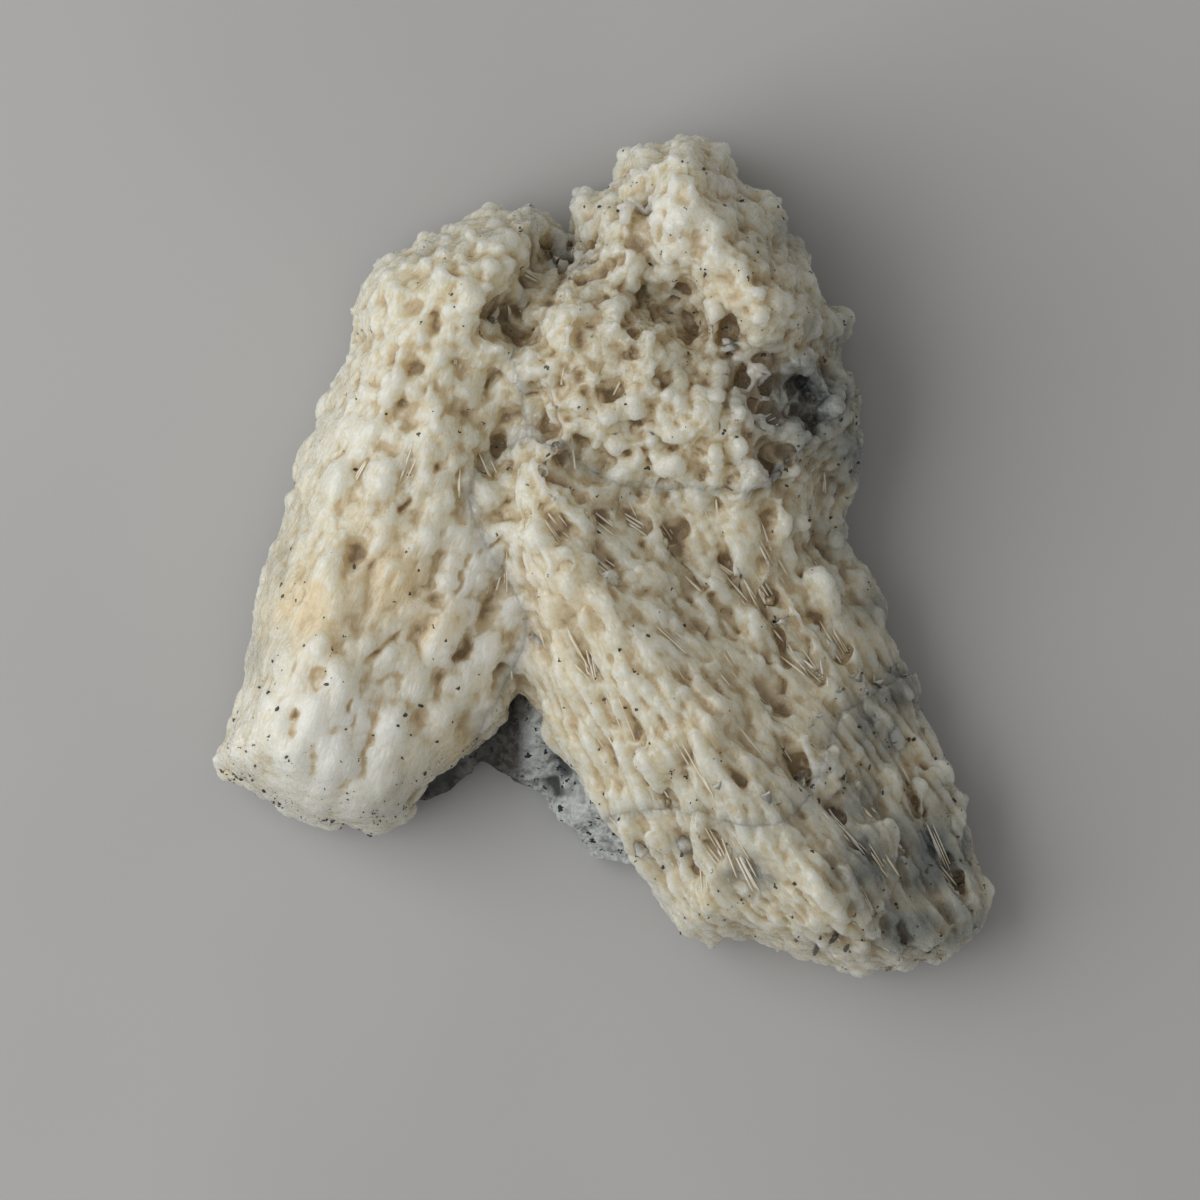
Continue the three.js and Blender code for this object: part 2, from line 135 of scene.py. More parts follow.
# Single crystals that stand out in the photograph, in its pixels: where the tail and the head
# show, half the width in millimetres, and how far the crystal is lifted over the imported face.
# LONE_TILT is added to that at the tail and at the head.
LONE_TILT = (-0.4, 0.8)
LONE_CRYSTALS = (
    (566, 262, 545, 218, 1.3, 0.6), (590, 242, 583, 199, 2.0, 0.5), (575, 235, 578, 205, 1.5, 0.2),
    (612, 228, 604, 189, 0.8, 0.6), (642, 240, 627, 192, 1.2, 0.8), (664, 160, 630, 154, 1.3, 0.4),
    (655, 173, 630, 174, 1.2, 0.2), (668, 215, 668, 264, 1.4, 0.8), (663, 301, 679, 281, 0.9, 1.2),
    (820, 331, 843, 323, 1.3, 0.3), (800, 287, 806, 270, 1.4, 0.3), (768, 238, 768, 200, 2.7, 0.2),
    (690, 178, 684, 140, 1.8, 0.5), (712, 178, 719, 150, 2.0, 0.3), (650, 347, 650, 328, 1.6, 1.6),
    (718, 348, 739, 340, 1.1, 0.6), (748, 388, 772, 366, 1.6, 1.4), (758, 392, 752, 364, 1.5, 1.2),
    (712, 340, 712, 302, 1.6, 1.0), (740, 292, 770, 292, 1.2, 1.0), (533, 406, 513, 380, 1.0, 1.0),
    (556, 414, 556, 398, 1.8, 0.6), (546, 464, 546, 456, 0.7, 1.0), (545, 474, 545, 466, 0.7, 1.0),
    (708, 592, 715, 582, 1.1, 1.2), (795, 530, 802, 516, 1.6, 0.8), (780, 555, 782, 506, 1.5, 0.8),
    (835, 625, 812, 565, 2.4, 0.5), (742, 588, 735, 556, 0.9, 0.9), (770, 584, 768, 558, 0.7, 0.9),
    (926, 828, 918, 788, 0.4, 0.6), (920, 800, 916, 778, 0.9, 0.8), (897, 865, 880, 816, 1.7, 0.8),
    (902, 800, 886, 764, 1.7, 0.5), (945, 785, 935, 762, 1.6, 0.3), (960, 838, 957, 808, 1.3, 0.0),
    (900, 691, 911, 689, 1.3, 0.0), (638, 860, 622, 820, 1.8, 0.3), (668, 868, 652, 826, 1.6, 0.3),
    (706, 852, 698, 808, 2.0, 0.8), (662, 792, 646, 748, 2.1, 0.7),
)

# Bunches of small knobs in the photograph: the middle and the reach in its pixels, how many, and
# their half width in millimetres.
BUNCHES = (
    ((832, 760), 17, 34, 1.0),
    ((645, 330), 12, 10, 1.1),
    ((575, 305), 16, 12, 1.0),
)

# Circles of the photograph, in its pixels, where none of the crystals show: their middle and
# radius. The first lie beside and over the crown, the rest along the bare rock.
CLEAR_CIRCLES = (
    ((560, 188), 14), ((563, 206), 9), ((566, 224), 7), ((567, 241), 4.5),
    ((596, 178), 9), ((610, 170), 11), ((618, 155), 8), ((640, 133), 11),
    ((530, 724), 10), ((541, 740), 12), ((553, 758), 13), ((565, 776), 14), ((578, 794), 14),
    ((591, 811), 14), ((603, 828), 14), ((613, 845), 13), ((620, 861), 12), ((628, 874), 10),
)

# Grooves in the photograph, in its pixels: from, to, half the width and the depth in millimetres.
GROOVES = (
    (553, 232, 574, 268, 1.5, 2.5), (576, 262, 600, 236, 1.2, 1.5), (640, 196, 641, 216, 0.9, 3.0),
    (486, 318, 520, 312, 1.9, 1.8), (448, 272, 462, 262, 1.0, 1.0), (718, 322, 738, 350, 2.0, 1.4),
    (672, 300, 700, 282, 1.6, 1.0), (774, 372, 762, 440, 2.6, 1.2), (762, 440, 768, 480, 2.0, 1.5),
    (531, 366, 556, 424, 1.3, 1.0), (540, 402, 572, 472, 1.4, 1.2), (521, 468, 548, 510, 1.1, 1.0),
    (548, 512, 592, 553, 1.1, 1.0), (616, 488, 636, 528, 1.2, 1.0), (662, 516, 703, 590, 1.4, 1.5),
    (722, 560, 752, 610, 1.0, 1.0), (749, 580, 800, 672, 1.3, 1.2), (765, 585, 838, 690, 1.5, 1.4),
    (600, 542, 640, 650, 1.2, 1.1), (802, 598, 852, 667, 1.2, 1.0), (572, 645, 612, 704, 0.8, 1.0),
    (597, 668, 652, 752, 1.0, 1.1), (690, 600, 716, 640, 0.9, 1.0), (763, 650, 792, 702, 0.9, 1.2),
    (748, 672, 796, 726, 1.3, 1.2), (777, 726, 810, 784, 0.9, 1.5), (829, 800, 868, 860, 1.0, 1.4),
    (732, 765, 748, 792, 0.6, 0.7), (706, 828, 766, 920, 1.3, 1.5), (680, 820, 702, 898, 1.1, 1.1),
    (632, 835, 664, 870, 0.9, 0.9), (662, 790, 681, 840, 0.6, 1.0), (860, 880, 900, 956, 1.6, 1.6),
    (786, 882, 806, 914, 0.6, 0.9), (942, 846, 964, 892, 0.8, 1.4), (398, 514, 410, 496, 0.5, 0.9),
    (366, 572, 376, 560, 0.7, 0.9), (388, 588, 396, 570, 0.5, 0.7), (458, 592, 466, 574, 0.6, 0.9),
    (464, 568, 474, 554, 0.6, 0.8), (432, 474, 440, 462, 0.5, 0.8), (460, 480, 470, 462, 0.5, 0.9),
    (456, 664, 472, 638, 0.6, 1.0), (496, 676, 504, 662, 0.6, 0.9), (288, 678, 296, 662, 0.3, 0.6),
    (290, 720, 296, 708, 0.4, 0.6), (348, 716, 356, 696, 0.4, 0.6), (370, 658, 400, 634, 0.5, 0.8),
    (296, 604, 304, 588, 0.4, 0.6), (490, 552, 504, 536, 0.6, 0.9), (418, 394, 428, 382, 0.5, 0.8),
    (386, 366, 398, 344, 0.5, 1.0), (354, 392, 362, 372, 0.5, 0.8), (544, 456, 552, 484, 0.8, 1.2),
)

# Streaks of dark metal in the photograph, in its pixels: from, to.
STREAKS = (
    (789, 950, 799, 936), (814, 956, 821, 936), (823, 957, 836, 931), (839, 960, 849, 944),
    (829, 944, 838, 934),
)

# Patches of another look on the crystals: what changes, then where in plan, how far and how much.
PATCHES = {
    "ochre": (
        (-41, -8, 6, 0.8), (-30, -4, 6, 0.9), (-24, -10, 4, 0.9), (-7, -10, 7, 0.6), (-13, 35, 3, 0.6),
        (-12, -22, 3, 1.0), (-19, -29, 4, 0.8), (18, 36, 6, 0.35), (20, -22, 8, 0.3),
    ),
    # Grey: partly the crystals' own grey on the foot, partly painted shade along the right flank, on the
    # crown's dark side and over the lower right spray.
    "grey": (
        (48, -43, 8, 1.0), (38, -45, 6, 0.9), (34, -37, 3, 0.6), (22, -47, 3.5, 0.8),
        (44, -54, 6, 0.9), (52, -54, 6, 0.8), (38, -36, 5, 0.7), (20, -47, 4, 0.5), (-50, -15, 4, 0.4),
        (-47, -2, 3, 0.35), (-30, -37, 4, 0.4), (28, 46, 5, 0.6), (34, 32, 5, 0.7), (31, 22, 8.5, 1.0),
        (38, 14, 7, 1.0), (36, 3, 5, 0.6), (41, -8, 5, 0.7), (44, -20, 5, 0.85), (39, -26, 5, 0.75),
        (20, -38, 18, 0.2), (4, -6, 15, 0.12), (10, 36, 22, 0.1),
    ),
    "white": (
        (-34, 16, 9, 0.45), (-38, -27, 13, 1.0), (-19, -9, 11, 1.0), (10, 46, 6, 0.6),
        (24, 22, 6, 0.5), (8, -12, 6, 0.4),
    ),
    "bright": (
        (-51, -29, 3, 1.0), (-43, 6, 2, 0.9), (-34, 7.5, 2, 0.7), (-24, 44, 3, 0.9), (-5, 38, 3, 0.9),
        (2, 33, 2.5, 0.9), (7, 32, 2.5, 1.0), (16, -5, 1.5, 1.0), (28, -56.5, 1.5, 1.0),
        (33, -56.5, 2, 1.0),
    ),
    # Brown: partly real brown, partly painted shade in the deep clefts, the trough, the pit and the notch.
    "brown": (
        (-12, -22.5, 2.5, 0.8), (-18, -28, 2.5, 0.5), (-23, -34, 2.5, 0.5), (-14, 34, 3, 0.8),
        (-5, 42, 3, 0.9), (3, 44, 3.5, 0.5), (19, 31, 4, 0.6), (25, 20, 4.5, 0.6), (-8, 17, 3.5, 0.5),
        (-20, -15, 1.5, 0.8),
    ),
}

COLUMN_STEP = 1.0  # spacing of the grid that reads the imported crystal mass
BEYOND = 100.0  # a level clear of the whole object, over it and under it
MISSED = 0.01  # an upright line that ends this near its start met nothing
LEAST_THICK = 1.0  # the mass under the crystals stops where it is thinner than this
SHELL = 6.0  # thickness of the mass that the crystals are fused to
SHELL_RIM = 5  # how many columns in from the outline the mass is solid down to its foot
BODY_OVERLAP = 0.35  # a body reaches on to where its share falls to this, the largest being 1
BODY_SINK = 1.4  # a body dips by this times (1 - its share) under its neighbour
VOXELS = {"left_spray": 0.46, "head": 0.425, "right_spray": 0.425, "right_foot": 0.36}
ROCK_VOXEL = 0.7

ROCK_GAP = 1.2  # crystals start only this far from the rock
FACE_TURN = -0.3  # and only where the mass faces up by more than this
LENGTHS = (0.7, 1.25)  # spread of the crystals' lengths
WIDTHS = (0.65, 1.25)  # and of their half widths
SUNK_SPREAD = 0.45  # spread of how deep their lines lie
LEAST_RISE = 0.25  # least share of a crystal's way that points out of the face
SET_BACK = 0.62  # share of a crystal's length that lies behind the place it is set on
TAPER = 0.3  # how much a crystal thins to its tail and thickens to its head
BUD_PLACES = (0.55, 1.0)  # where buds sit, as a share of the way from tail to head
BUD_SIZES = (0.35, 0.75)  # their half width, as a share of the crystal's
KNOB_SIZES = (0.6, 1.3)  # spread of the half widths in a bunch
KNOB_LIFT = 0.9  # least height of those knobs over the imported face
UNPRESSED = 9.0  # how proud the single crystals and the bunches may stand
PRESS = 0.75  # how much of what stands too proud is pressed back
CRUST_FOOT = 3.0  # lowest level of the crystals that wrap the rim of the rock
LIMIT_SOFT = 2.0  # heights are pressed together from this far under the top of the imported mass
LIMIT_PROUD = 0.8  # and end this far over it

DIP = -0.55  # knobs and ridges dip no deeper than this
EVEN_TIMES = 3  # how often the fused skin is evened
NEAR_TIMES = 10  # how often it is averaged to tell small hollows
FAR_TIMES = 110  # and how much more often to tell the valleys

BUNDLES = 130  # of fibres
RODS = 4  # fibres in each bundle
ROD_SPREAD = 0.8  # how far apart they lie
ROD_HALVES = (1.2, 5.0)  # half their length
ROD_SLIDE = 2.0  # how far they slide along the bundle
ROD_LIFT = 0.35  # how far the highest stand off the skin
ROD_WIDTHS = (0.1, 0.22)  # half their width
ROD_CLEAR = 0.6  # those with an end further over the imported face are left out
GRAINS = 700
LEAST_GRAIN = 0.08  # half width of the smallest grain
GRAIN_SPREAD = 0.24  # how much wider the largest is
GRAIN_LENGTHS = (0.8, 2.2)  # their length, as a share of their width
GRAIN_LIFT = 0.04  # how far the middle of a grain stands over the skin
STREAK_LIFT = 0.1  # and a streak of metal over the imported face
STREAK_WIDTH = 0.4  # half the width of a streak of metal


# Array tools

def unit(vectors):
    """Each vector divided by its length."""
    return vectors / np.maximum(np.linalg.norm(vectors, axis=-1, keepdims=True), 1e-9)


def smoothstep(values, low, high):
    """0 up to low, 1 from high on, and 3t^2 - 2t^3 between them."""
    t = np.clip((values - low) / (high - low), 0, 1)
    return t * t * (3 - 2 * t)


def scrambled(cell, seed):
    """A random whole number of 32 bits for each cell: its three numbers and the seed, each times
    a large number and added up, and the bits stirred."""
    key = cell[:, 0] * 374761393 + cell[:, 1] * 668265263 + cell[:, 2] * 1440662683 + seed * 1274126177
    key &= 0xFFFFFFFF
    key = ((key ^ (key >> 13)) * 1274126177) & 0xFFFFFFFF
    return key ^ (key >> 16)


def noise(points, seed):
    """Smooth noise from -1 to 1: a random value at each corner of unit cells, blended by smooth
    steps between the corners."""
    cell = np.floor(points).astype(np.int64)
    blend = points - cell
    blend = blend * blend * (3 - 2 * blend)
    total = np.zeros(len(points))
    for corner in itertools.product((0, 1), repeat=3):
        value = (scrambled(cell + np.array(corner), seed) & 0xFFFF) / 32767.5 - 1
        weight = np.prod(np.where(corner, blend, 1 - blend), axis=1)
        total += weight * value
    return total


def lumps(points, seed):
    """Round lumps with creases between them, from -1 to 1: one random point stands in each unit
    cell, up to 0.38 from its middle each way, and the value is 1 - 4 * (distance to the nearest
    of them)^2, no lower than -1."""
    corner = np.floor(points - 0.5).astype(np.int64)
    nearest = np.full(len(points), 9.0)
    for step in itertools.product((0, 1), repeat=3):
        cell = corner + np.array(step)
        key = scrambled(cell, seed)
        stray = np.stack([key & 0x3FF, (key >> 10) & 0x3FF, (key >> 20) & 0x3FF], axis=1) / 511.5 - 1
        away = cell + 0.5 + 0.38 * stray - points
        nearest = np.minimum(nearest, np.sum(away**2, axis=1))
    return np.maximum(1 - 4 * nearest, -1)


def relief(points, rows):
    """Waves added up: each row adds height * wave(points / size, seed)."""
    return sum(height * wave(points / size, seed) for height, wave, size, seed in rows)


def averaged(values, edges, times):
    """Each vertex's row of values replaced, several times over, by the mean of its own and its
    neighbours'."""
    count = len(values)
    near = np.bincount(edges.ravel(), minlength=count) + 1
    for _ in range(times):
        columns = [
            np.bincount(edges[:, 0], column[edges[:, 1]], count)
            + np.bincount(edges[:, 1], column[edges[:, 0]], count)
            + column
            for column in values.T
        ]
        values = np.stack(columns, axis=1) / near[:, None]
    return values


def zone_weights(plan):
    """How much each zone counts at places of the plan: exp(-(distance / reach)^2), and all of
    them add up to 1."""
    away = np.linalg.norm(plan[:, None, :] - ZONE_PLACES[None], axis=2)
    weight = np.exp(-((away / ZONE_REACH) ** 2)) + 1e-9
    return weight / weight.sum(axis=1, keepdims=True)


def blended(weights, name):
    """A figure of the zones, each times the zone's weight at a place, added up."""
    return weights @ np.array([zone[name] for zone in ZONES], float)


def patch(plan, name):
    """How strongly a look shows at places of the plan: the strongest patch of that name counts,
    each fading as exp(-(distance / reach)^2)."""
    strength = np.zeros(len(plan))
    for *at, reach, most in PATCHES[name]:
        away = np.linalg.norm(plan - np.array(at), axis=1) / reach
        strength = np.maximum(strength, most * np.exp(-(away**2)))
    return strength


def part_shares(weights):
    """How much each part counts at places: the weights of its zones, added up."""
    belongs = np.array([[zone["part"] == part for part in PARTS] for zone in ZONES], float)
    return weights @ belongs


def body_shares(weights):
    """How much each body counts at places: the shares of its parts added up, and divided by the
    largest body's."""
    belongs = np.array([[part in held for held in BODIES.values()] for part in PARTS], float)
    shares = part_shares(weights) @ belongs
    return shares / shares.max(axis=1, keepdims=True)


def nearer(height):
    """How much larger a thing at this height shows than one at the level of the edge: their
    distances from the camera, one divided by the other."""
    return ((CAMERA_HEIGHT - EDGE_LEVEL) / (CAMERA_HEIGHT - height))[:, None]


def seen(points):
    """Where points show in the photograph, in its pixels: their places from its middle, as large
    as they show."""
    shown = (points[:, :2] - PHOTO_MIDDLE) * nearer(points[:, 2])
    return PHOTO_PIXELS / 2 + shown / PIXEL * PIXELS_RUN


def unseen(pixels, height):
    """The place in plan, at a height, of what shows at these pixels: seen() turned round."""
    return PHOTO_MIDDLE + (pixels - PHOTO_PIXELS / 2) * PIXELS_RUN * PIXEL / nearer(height)


def cleared(points):
    """Whether points show in one of the photograph's clear circles."""
    pixels = seen(points)
    inside = np.zeros(len(points), bool)
    for middle, reach in CLEAR_CIRCLES:
        inside |= np.linalg.norm(pixels - np.array(middle), axis=1) < reach
    return inside


def groove_depth(points):
    """How deep the photograph's grooves cut at each point: the deepest groove counts, each
    depth * exp(-(share of its half length)^4 - (share of its half width)^2). Its edges wander."""
    wander = 4 * np.column_stack([noise(points / 1.7, 21), noise(points / 1.7, 22)])
    pixels = seen(points) + wander
    depth = np.zeros(len(points))
    for *ends, half, deep in GROOVES:
        start, end = np.array(ends, float).reshape(2, 2)
        along = unit(end - start)
        away = pixels - (start + end) / 2
        length = away @ along / (np.linalg.norm(end - start) / 2)
        width = away @ np.array([-along[1], along[0]]) * PIXEL / half
        fade = -(np.minimum(length**2, 9) ** 2) - np.minimum(width**2, 40)
        depth = np.maximum(depth, deep * np.exp(fade))
    return depth


# Meshes

def cad_triangles(node):
    """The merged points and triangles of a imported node, in millimetres."""
    mesh = node.data
    points = np.empty(len(mesh.vertices) * 3)
    mesh.vertices.foreach_get("co", points)
    mesh.calc_loop_triangles()
    triangles = np.empty(len(mesh.loop_triangles) * 3, np.int32)
    mesh.loop_triangles.foreach_get("vertices", triangles)
    points = np.round(points.reshape(-1, 3) / MM, 3)
    points, place = np.unique(points, axis=0, return_inverse=True)
    triangles = place.ravel()[triangles].reshape(-1, 3)
    distinct = (triangles[:, 0] != triangles[:, 1]) & (triangles[:, 1] != triangles[:, 2])
    distinct &= triangles[:, 0] != triangles[:, 2]
    return points, triangles[distinct]


def mesh_object(name, points, faces, material=None):
    """A mesh object from points in millimetres and faces of one size."""
    mesh = bpy.data.meshes.new(name)
    mesh.from_pydata((points * MM).tolist(), [], faces.tolist())
    mesh.update()
    obj = bpy.data.objects.new(name, mesh)
    bpy.context.scene.collection.objects.link(obj)
    if material:
        mesh.materials.append(material)
    return obj


def mesh_arrays(mesh):
    """A mesh's points in millimetres, its edges and its vertex normals."""
    points = np.empty(len(mesh.vertices) * 3)
    mesh.vertices.foreach_get("co", points)
    edges = np.empty(len(mesh.edges) * 2, np.int32)
    mesh.edges.foreach_get("vertices", edges)
    normals = np.empty(len(mesh.vertices) * 3)
    mesh.vertex_normals.foreach_get("vector", normals)
    return points.reshape(-1, 3) / MM, edges.reshape(-1, 2), normals.reshape(-1, 3)


def set_points(mesh, points):
    mesh.vertices.foreach_set("co", (points * MM).ravel())
    mesh.update()


def set_value(mesh, name, values):
    """One number on each vertex, for the materials to read."""
    mesh.attributes.new(name, "FLOAT", "POINT").data.foreach_set("value", values.astype(np.float32))


def set_vector(mesh, name, values):
    """Three numbers on each vertex, for the materials to read."""
    attribute = mesh.attributes.new(name, "FLOAT_VECTOR", "POINT")
    attribute.data.foreach_set("vector", values.astype(np.float32).ravel())


def fused(name, points, faces, voxel):
    """Overlapping closed bodies as one skin of small squares, by a voxel remesh."""
    obj = mesh_object(name, points, faces)
    modifier = obj.modifiers.new("fuse", "REMESH")
    modifier.mode = "VOXEL"
    modifier.voxel_size = voxel * MM
    modifier.use_smooth_shade = True
    graph = bpy.context.evaluated_depsgraph_get()
    skin = bpy.data.meshes.new_from_object(obj.evaluated_get(graph))
    obj.modifiers.clear()
    coarse = obj.data
    obj.data = skin
    bpy.data.meshes.remove(coarse)
    return obj


# Eggs: the shape of a crystal

def egg_faces(rings, sides):
    """The triangles of one egg: a fan round each pole and two in each cell between the rings."""
    faces = []
    last = 2 + (rings - 2) * sides
    for j in range(sides):
        k = (j + 1) % sides
        faces.append((0, 2 + k, 2 + j))
        faces.append((1, last + j, last + k))
        for i in range(rings - 2):
            a = 2 + i * sides
            b = a + sides
            faces.append((a + j, a + k, b + k))
            faces.append((a + j, b + k, b + j))
    return np.array(faces)


def eggs(root, tip, thick, taper, rng, rings=7, sides=8, knobs=0.2):
    """Closed eggs on the lines from root to tip. At angle p from the tail an egg is
    thick * sin p * (1 - taper * cos p) wide and (1 - cos p) / 2 of the way along its line, and
    three and two low ridges run round it."""
    count = len(root)
    axis = unit(tip - root)
    side = unit(np.cross(axis, unit(rng.normal(size=(count, 3)))))
    other = np.cross(axis, side)
    p = np.pi * np.arange(1, rings) / rings
    q = 2 * np.pi * np.arange(sides) / sides
    turn = rng.uniform(0, 2 * np.pi, (count, 1, 1))
    depth = rng.uniform(0.2 * knobs, knobs, (count, 1, 1))
    ridge = 1 + depth * np.cos(3 * q + turn) + 0.6 * depth * np.cos(2 * q - 2 * turn)
    width = thick[:, None, None] * (np.sin(p) * (1 - taper * np.cos(p)))[None, :, None] * ridge
    along = root[:, None] + (tip - root)[:, None] * ((1 - np.cos(p)) / 2)[None, :, None]
    body = along[:, :, None] + (width * np.cos(q))[..., None] * side[:, None, None]
    body = body + (width * np.sin(q))[..., None] * other[:, None, None]
    points = np.concatenate([root[:, None], tip[:, None], body.reshape(count, -1, 3)], axis=1)
    faces = egg_faces(rings, sides)
    offset = np.arange(count)[:, None, None] * points.shape[1]
    return points.reshape(-1, 3), (faces[None] + offset).reshape(-1, 3)


def joined(parts):
    """Several (points, triangles) as one."""
    offset = np.cumsum([0] + [len(points) for points, _ in parts[:-1]])
    points = np.concatenate([points for points, _ in parts])
    faces = np.concatenate([faces + shift for (_, faces), shift in zip(parts, offset)])
    return points, faces


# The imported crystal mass, read on upright lines over the plan

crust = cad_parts["calcite"]
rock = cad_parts["rock"]
crust_points, crust_faces = cad_triangles(crust)
rock_points, rock_faces = cad_triangles(rock)
crust_low = crust_points.min(axis=0)
crust_high = crust_points.max(axis=0)


def carried(points, target, **settings):
    """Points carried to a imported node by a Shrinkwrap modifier."""
    obj = mesh_object("carried", points, np.empty((0, 3), int))
    modifier = obj.modifiers.new("carry", "SHRINKWRAP")
    modifier.target = target
    for key, value in settings.items():
        setattr(modifier, key, value)
    graph = bpy.context.evaluated_depsgraph_get()
    moved = bpy.data.meshes.new_from_object(obj.evaluated_get(graph))
    places = mesh_arrays(moved)[0]
    still = obj.data
    bpy.data.objects.remove(obj)
    bpy.data.meshes.remove(still)
    bpy.data.meshes.remove(moved)
    return places


def first_hits(plan, start, downward):
    """The height at which upright lines from a level first meet the crystal mass, or NaN."""
    points = np.column_stack([plan, np.full(len(plan), start)])
    hits = carried(
        points, crust, wrap_method="PROJECT", use_project_z=True, use_negative_direction=downward,
        use_positive_direction=not downward,
    )[:, 2]
    return np.where(np.abs(hits - start) < MISSED, math.nan, hits)


column_x = np.arange(crust_low[0] - COLUMN_STEP, crust_high[0] + 2 * COLUMN_STEP, COLUMN_STEP)
column_y = np.arange(crust_low[1] - COLUMN_STEP, crust_high[1] + 2 * COLUMN_STEP, COLUMN_STEP)
column_shape = (len(column_x), len(column_y))
column_plan = np.stack(np.meshgrid(column_x, column_y, indexing="ij"), axis=-1).reshape(-1, 2)
column_top = first_hits(column_plan, BEYOND, True).reshape(column_shape)
column_foot = first_hits(column_plan, -BEYOND, False).reshape(column_shape)
column_weights = zone_weights(column_plan)


def read_columns(values, plan):
    """The value of the nearest column."""
    i = np.clip(np.round((plan[:, 0] - column_x[0]) / COLUMN_STEP), 0, len(column_x) - 1)
    j = np.clip(np.round((plan[:, 1] - column_y[0]) / COLUMN_STEP), 0, len(column_y) - 1)
    return values[i.astype(int), j.astype(int)]


def enclosed(columns):
    """Whether all four neighbours of each column are among these columns."""
    near = np.pad(columns, 1)
    return near[2:, 1:-1] & near[:-2, 1:-1] & near[1:-1, 2:] & near[1:-1, :-2]


def base_block(share):
    """The part of the crystal mass where the body's share is large enough, as a closed block of
    columns: a quad over and under each cell, and walls round them all. Away from the rim it is a
    shell, because nothing shows of its inside."""
    top = column_top - blended(column_weights, "inset").reshape(column_shape)
    filled = ~np.isnan(column_top)
    inner = filled
    for _ in range(SHELL_RIM):
        inner = inner & enclosed(inner)
    foot = np.where(inner, np.maximum(column_foot, top - SHELL), column_foot)
    face = np.column_stack([column_plan, np.nan_to_num(column_top).ravel()])
    solid = filled & (top - column_foot > LEAST_THICK) & (share > BODY_OVERLAP)
    solid &= ~cleared(face).reshape(column_shape) & enclosed(filled)
    cells = solid[:-1, :-1] & solid[1:, :-1] & solid[:-1, 1:] & solid[1:, 1:]
    number = np.arange(top.size).reshape(column_shape)
    below = top.size
    corners = np.stack([number[:-1, :-1], number[1:, :-1], number[1:, 1:], number[:-1, 1:]], axis=-1)
    faces = [corners[cells], corners[cells][:, ::-1] + below]
    padded = np.pad(cells, 1)
    sides = {(1, 0): (0, 1), (2, 1): (1, 2), (1, 2): (2, 3), (0, 1): (3, 0)}
    for (i, j), (a, b) in sides.items():
        open_side = cells & ~padded[i:i + cells.shape[0], j:j + cells.shape[1]]
        first, second = corners[open_side][:, a], corners[open_side][:, b]
        faces.append(np.stack([second, first, first + below, second + below], axis=1))
    faces = np.concatenate(faces)
    points = np.concatenate([
        np.column_stack([column_plan, np.nan_to_num(level).ravel()]) for level in (top, foot)
    ])
    triangles = np.concatenate([faces[:, [0, 1, 2]], faces[:, [0, 2, 3]]])
    used, triangles = np.unique(triangles, return_inverse=True)
    return points[used], triangles.reshape(-1, 3)


# Where the crystals stand

def surface_places(points, faces, apart, rng):
    """Random places on a triangle mesh, spread evenly over its area, and their normals. Of three
    times as many as are wanted, the first in each cell of the given size is kept."""
    a, b, c = points[faces[:, 0]], points[faces[:, 1]], points[faces[:, 2]]
    cross = np.cross(b - a, c - a)
    area = np.linalg.norm(cross, axis=1) / 2
    count = int(3 * area.sum() / apart**2)
    picked = rng.choice(len(faces), count, p=area / area.sum())
    u = np.sqrt(rng.uniform(size=(count, 1)))
    v = rng.uniform(size=(count, 1))
    places = (1 - u) * a[picked] + u * (1 - v) * b[picked] + u * v * c[picked]
    _, first = np.unique(np.floor(places / apart).astype(int), axis=0, return_index=True)
    first.sort()
    return places[first], unit(cross[picked][first])


def off_the_rock(places, clear):
    """Whether each place is further than this from the rock."""
    nearest = carried(places, rock, wrap_method="NEAREST_SURFACEPOINT")
    return np.linalg.norm(nearest - places, axis=1) > clear


def kept_off_the_rock(points):
    """Points lifted to the underside of the crystal mass where they lie lower."""
    foot = np.where(np.isnan(column_foot), CRUST_FOOT, column_foot)
    lifted = points.copy()
    lifted[:, 2] = np.maximum(points[:, 2], read_columns(foot, points[:, :2]))
    return lifted


rng = np.random.default_rng(SEED)
tightest = min(zone["apart"] for zone in ZONES)
places, normals = surface_places(crust_points, crust_faces, tightest, rng)
outer = off_the_rock(places, ROCK_GAP) & (normals[:, 2] > FACE_TURN)
places, normals = places[outer], normals[outer]
weights = zone_weights(places[:, :2])
keep = rng.uniform(size=len(places)) < (tightest / blended(weights, "apart")) ** 2
places, normals, weights = places[keep], normals[keep], weights[keep]
count = len(places)
zone_way = weights @ np.array([zone["way"] for zone in ZONES], float)
way = unit(unit(zone_way) + blended(weights, "stray")[:, None] * rng.normal(size=(count, 3)))
rise = np.sum(way * normals, axis=1)
way = unit(way + np.maximum(LEAST_RISE - rise, 0)[:, None] * normals)
long = blended(weights, "long") * rng.uniform(*LENGTHS, count)
thick = blended(weights, "thick") * rng.uniform(*WIDTHS, count)
line = places - normals * (blended(weights, "sunk") + rng.normal(0, SUNK_SPREAD, count))[:, None]
root = line - way * (SET_BACK * long)[:, None]
tip = line + way * ((1 - SET_BACK) * long)[:, None]
shown = ~cleared(tip) & ~cleared(line)
root, tip, thick, weights, normals, way = (
    values[shown] for values in (root, tip, thick, weights, normals, way)
)
count = len(root)
egg_shares = body_shares(weights)
buds = rng.poisson(blended(weights, "buds"))
mother = np.repeat(np.arange(count), buds)
bud_at = rng.uniform(*BUD_PLACES, len(mother))[:, None]
aside = unit(rng.normal(size=(len(mother), 3)) + 0.5 * normals[mother])
bud_middle = root[mother] * (1 - bud_at) + tip[mother] * bud_at
bud_middle += aside * (0.75 * thick[mother] * np.sqrt(1.15 - bud_at[:, 0]))[:, None]
bud_size = thick[mother] * rng.uniform(*BUD_SIZES, len(mother))
bud_way = unit(aside + way[mother])
bud_root = bud_middle - bud_way * bud_size[:, None]
bud_tip = bud_middle + bud_way * bud_size[:, None]
proud = blended(weights, "proud")
bud_proud = proud[mother]


